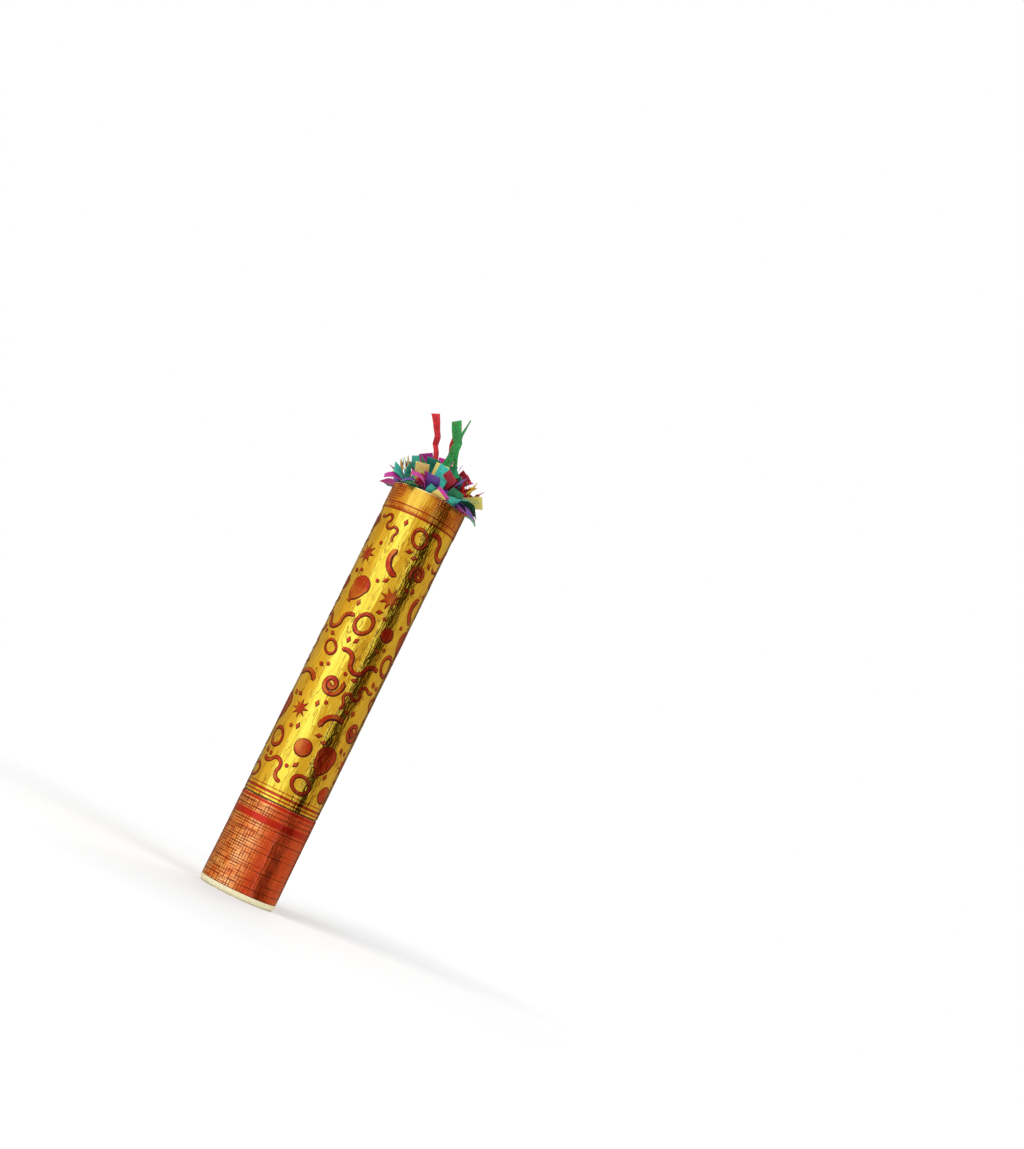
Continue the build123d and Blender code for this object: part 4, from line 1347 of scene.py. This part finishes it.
# %% Floor
floor_size = 12
glow_near, glow_far = 0.2, 2.0
glow_least, glow_most = 0.06, 0.66
start_clean()
bpy.ops.mesh.primitive_plane_add(size=floor_size)
floor = settle("floor")
floor_paper = bpy.data.materials.new("pale_floor")
tree = bare_tree(floor_paper)
floor_place = add(tree, "ShaderNodeTexCoord").outputs["Object"]
distance = add(tree, "ShaderNodeVectorMath", {0: floor_place}, operation="LENGTH")
far_glow = add(tree, "ShaderNodeMapRange", {
    "Value": distance.outputs["Value"], "From Min": glow_near, "From Max": glow_far,
    "To Min": glow_least, "To Max": glow_most})
lift = add(tree, "ShaderNodeMath", {0: seen_directly(tree), 1: far_glow.outputs[0]}, operation="MULTIPLY")
glow = add(tree, "ShaderNodeEmission", {"Color": (1, 1, 1, 1), "Strength": lift.outputs[0]})
matt = add(tree, "ShaderNodeBsdfDiffuse", {"Color": paint("#E8E8E8")})
both = add(tree, "ShaderNodeAddShader", {0: glow.outputs[0], 1: matt.outputs[0]})
add(tree, "ShaderNodeOutputMaterial", {"Surface": both.outputs[0]})
floor.data.materials.append(floor_paper)
print("Floor in m:", floor_size)

# %% [markdown]
# A mirror-like film needs something to mirror, so tall panels stand round the popper, each with a skirt
# on the floor: bright ones make the long highlights, and dark ones the streaks between them. They show
# only in reflections. A panel starts as a plane that loses one corner point. The L that is left is the
# panel's edge, and Spin takes it round.

# %% Panels
panel_radius, panel_height, panel_steps = 0.45, 0.62, 12
skirt_radius, panel_foot = 0.0268, 0.001
corners = ((panel_radius, panel_foot), (skirt_radius, panel_foot), (panel_radius, panel_height))
warm_grey, mid_brown, dark_brown = "#CBA97C", "#83664A", "#4A3626"
panels = (
    ("softbox_left", -60, -11, "#FFFFFF", 1.2), ("card_front", -11, 27, warm_grey, 1.2),
    ("strip_right", 28, 31, "#FFFFFF", 1.2), ("flag_near", 33, 40, mid_brown, 0.9),
    ("flag_right", 40, 62, dark_brown, 0.45), ("flag_far", 62, 72, mid_brown, 0.65),
    ("card_right", 72, 136, warm_grey, 1.0), ("flag_back", 136, 166, mid_brown, 0.7),
    ("softbox_back", 166, 202, "#FFFFFF", 1.1), ("flag_back_left", 202, 216, dark_brown, 0.6),
    ("card_back_left", 216, 262, warm_grey, 1.0), ("card_left", 262, 300, warm_grey, 1.4),
)
for name, start, end, colour, brightness in panels:
    start_clean()
    bpy.ops.mesh.primitive_plane_add(size=panel_height)
    panel = settle(name)
    bpy.ops.object.mode_set(mode="EDIT")
    pick(panel, "VERT", lambda c: c.x > 0 and c.y > 0)
    bpy.ops.mesh.delete(type="VERT")
    bpy.ops.object.mode_set(mode="OBJECT")
    begin = math.radians(start - 90)
    sweep = math.radians(start - end)
    for vertex, (out, rise) in zip(panel.data.vertices, corners):
        vertex.co = (out * math.cos(begin), out * math.sin(begin), rise)
    bpy.ops.object.mode_set(mode="EDIT")
    bpy.ops.mesh.select_all(action="SELECT")
    bpy.ops.mesh.spin(steps=panel_steps, angle=sweep, center=(0, 0, 0), axis=(0, 0, 1), dupli=False)
    bpy.ops.object.mode_set(mode="OBJECT")
    glowing = bpy.data.materials.new(name)
    tree = bare_tree(glowing)
    emission = add(tree, "ShaderNodeEmission", {"Color": paint(colour), "Strength": brightness})
    add(tree, "ShaderNodeOutputMaterial", {"Surface": emission.outputs[0]})
    panel.data.materials.append(glowing)
    panel.visible_camera = False
    panel.visible_diffuse = False
    panel.visible_transmission = False
    panel.visible_shadow = False
print("Panels:", len(panels))

# %% [markdown]
# The lamps are large, so their shadows are soft: a strong one high on the left, a weaker one on the
# right, and one behind that lights the back. The film doesn't mirror them.

# %% Lamps
lamp_aim = Vector((0, 0, 0.15))
lamps = (
    ("key_lamp", (-0.7, -0.9, 1.1), 12.0, 0.7), ("fill_lamp", (0.9, -0.7, 0.7), 5.0, 0.8),
    ("back_lamp", (0.2, 1.0, 0.9), 7.0, 0.8),
)
for name, place, power, size in lamps:
    start_clean()
    bpy.ops.object.light_add(type="AREA", location=place)
    lamp = bpy.context.object
    lamp.name = name
    lamp.data.energy = power
    lamp.data.size = size
    lamp.rotation_euler = (lamp_aim - Vector(place)).to_track_quat("-Z", "Y").to_euler()
    lamp.visible_glossy = False
print("Lamps:", len(lamps))
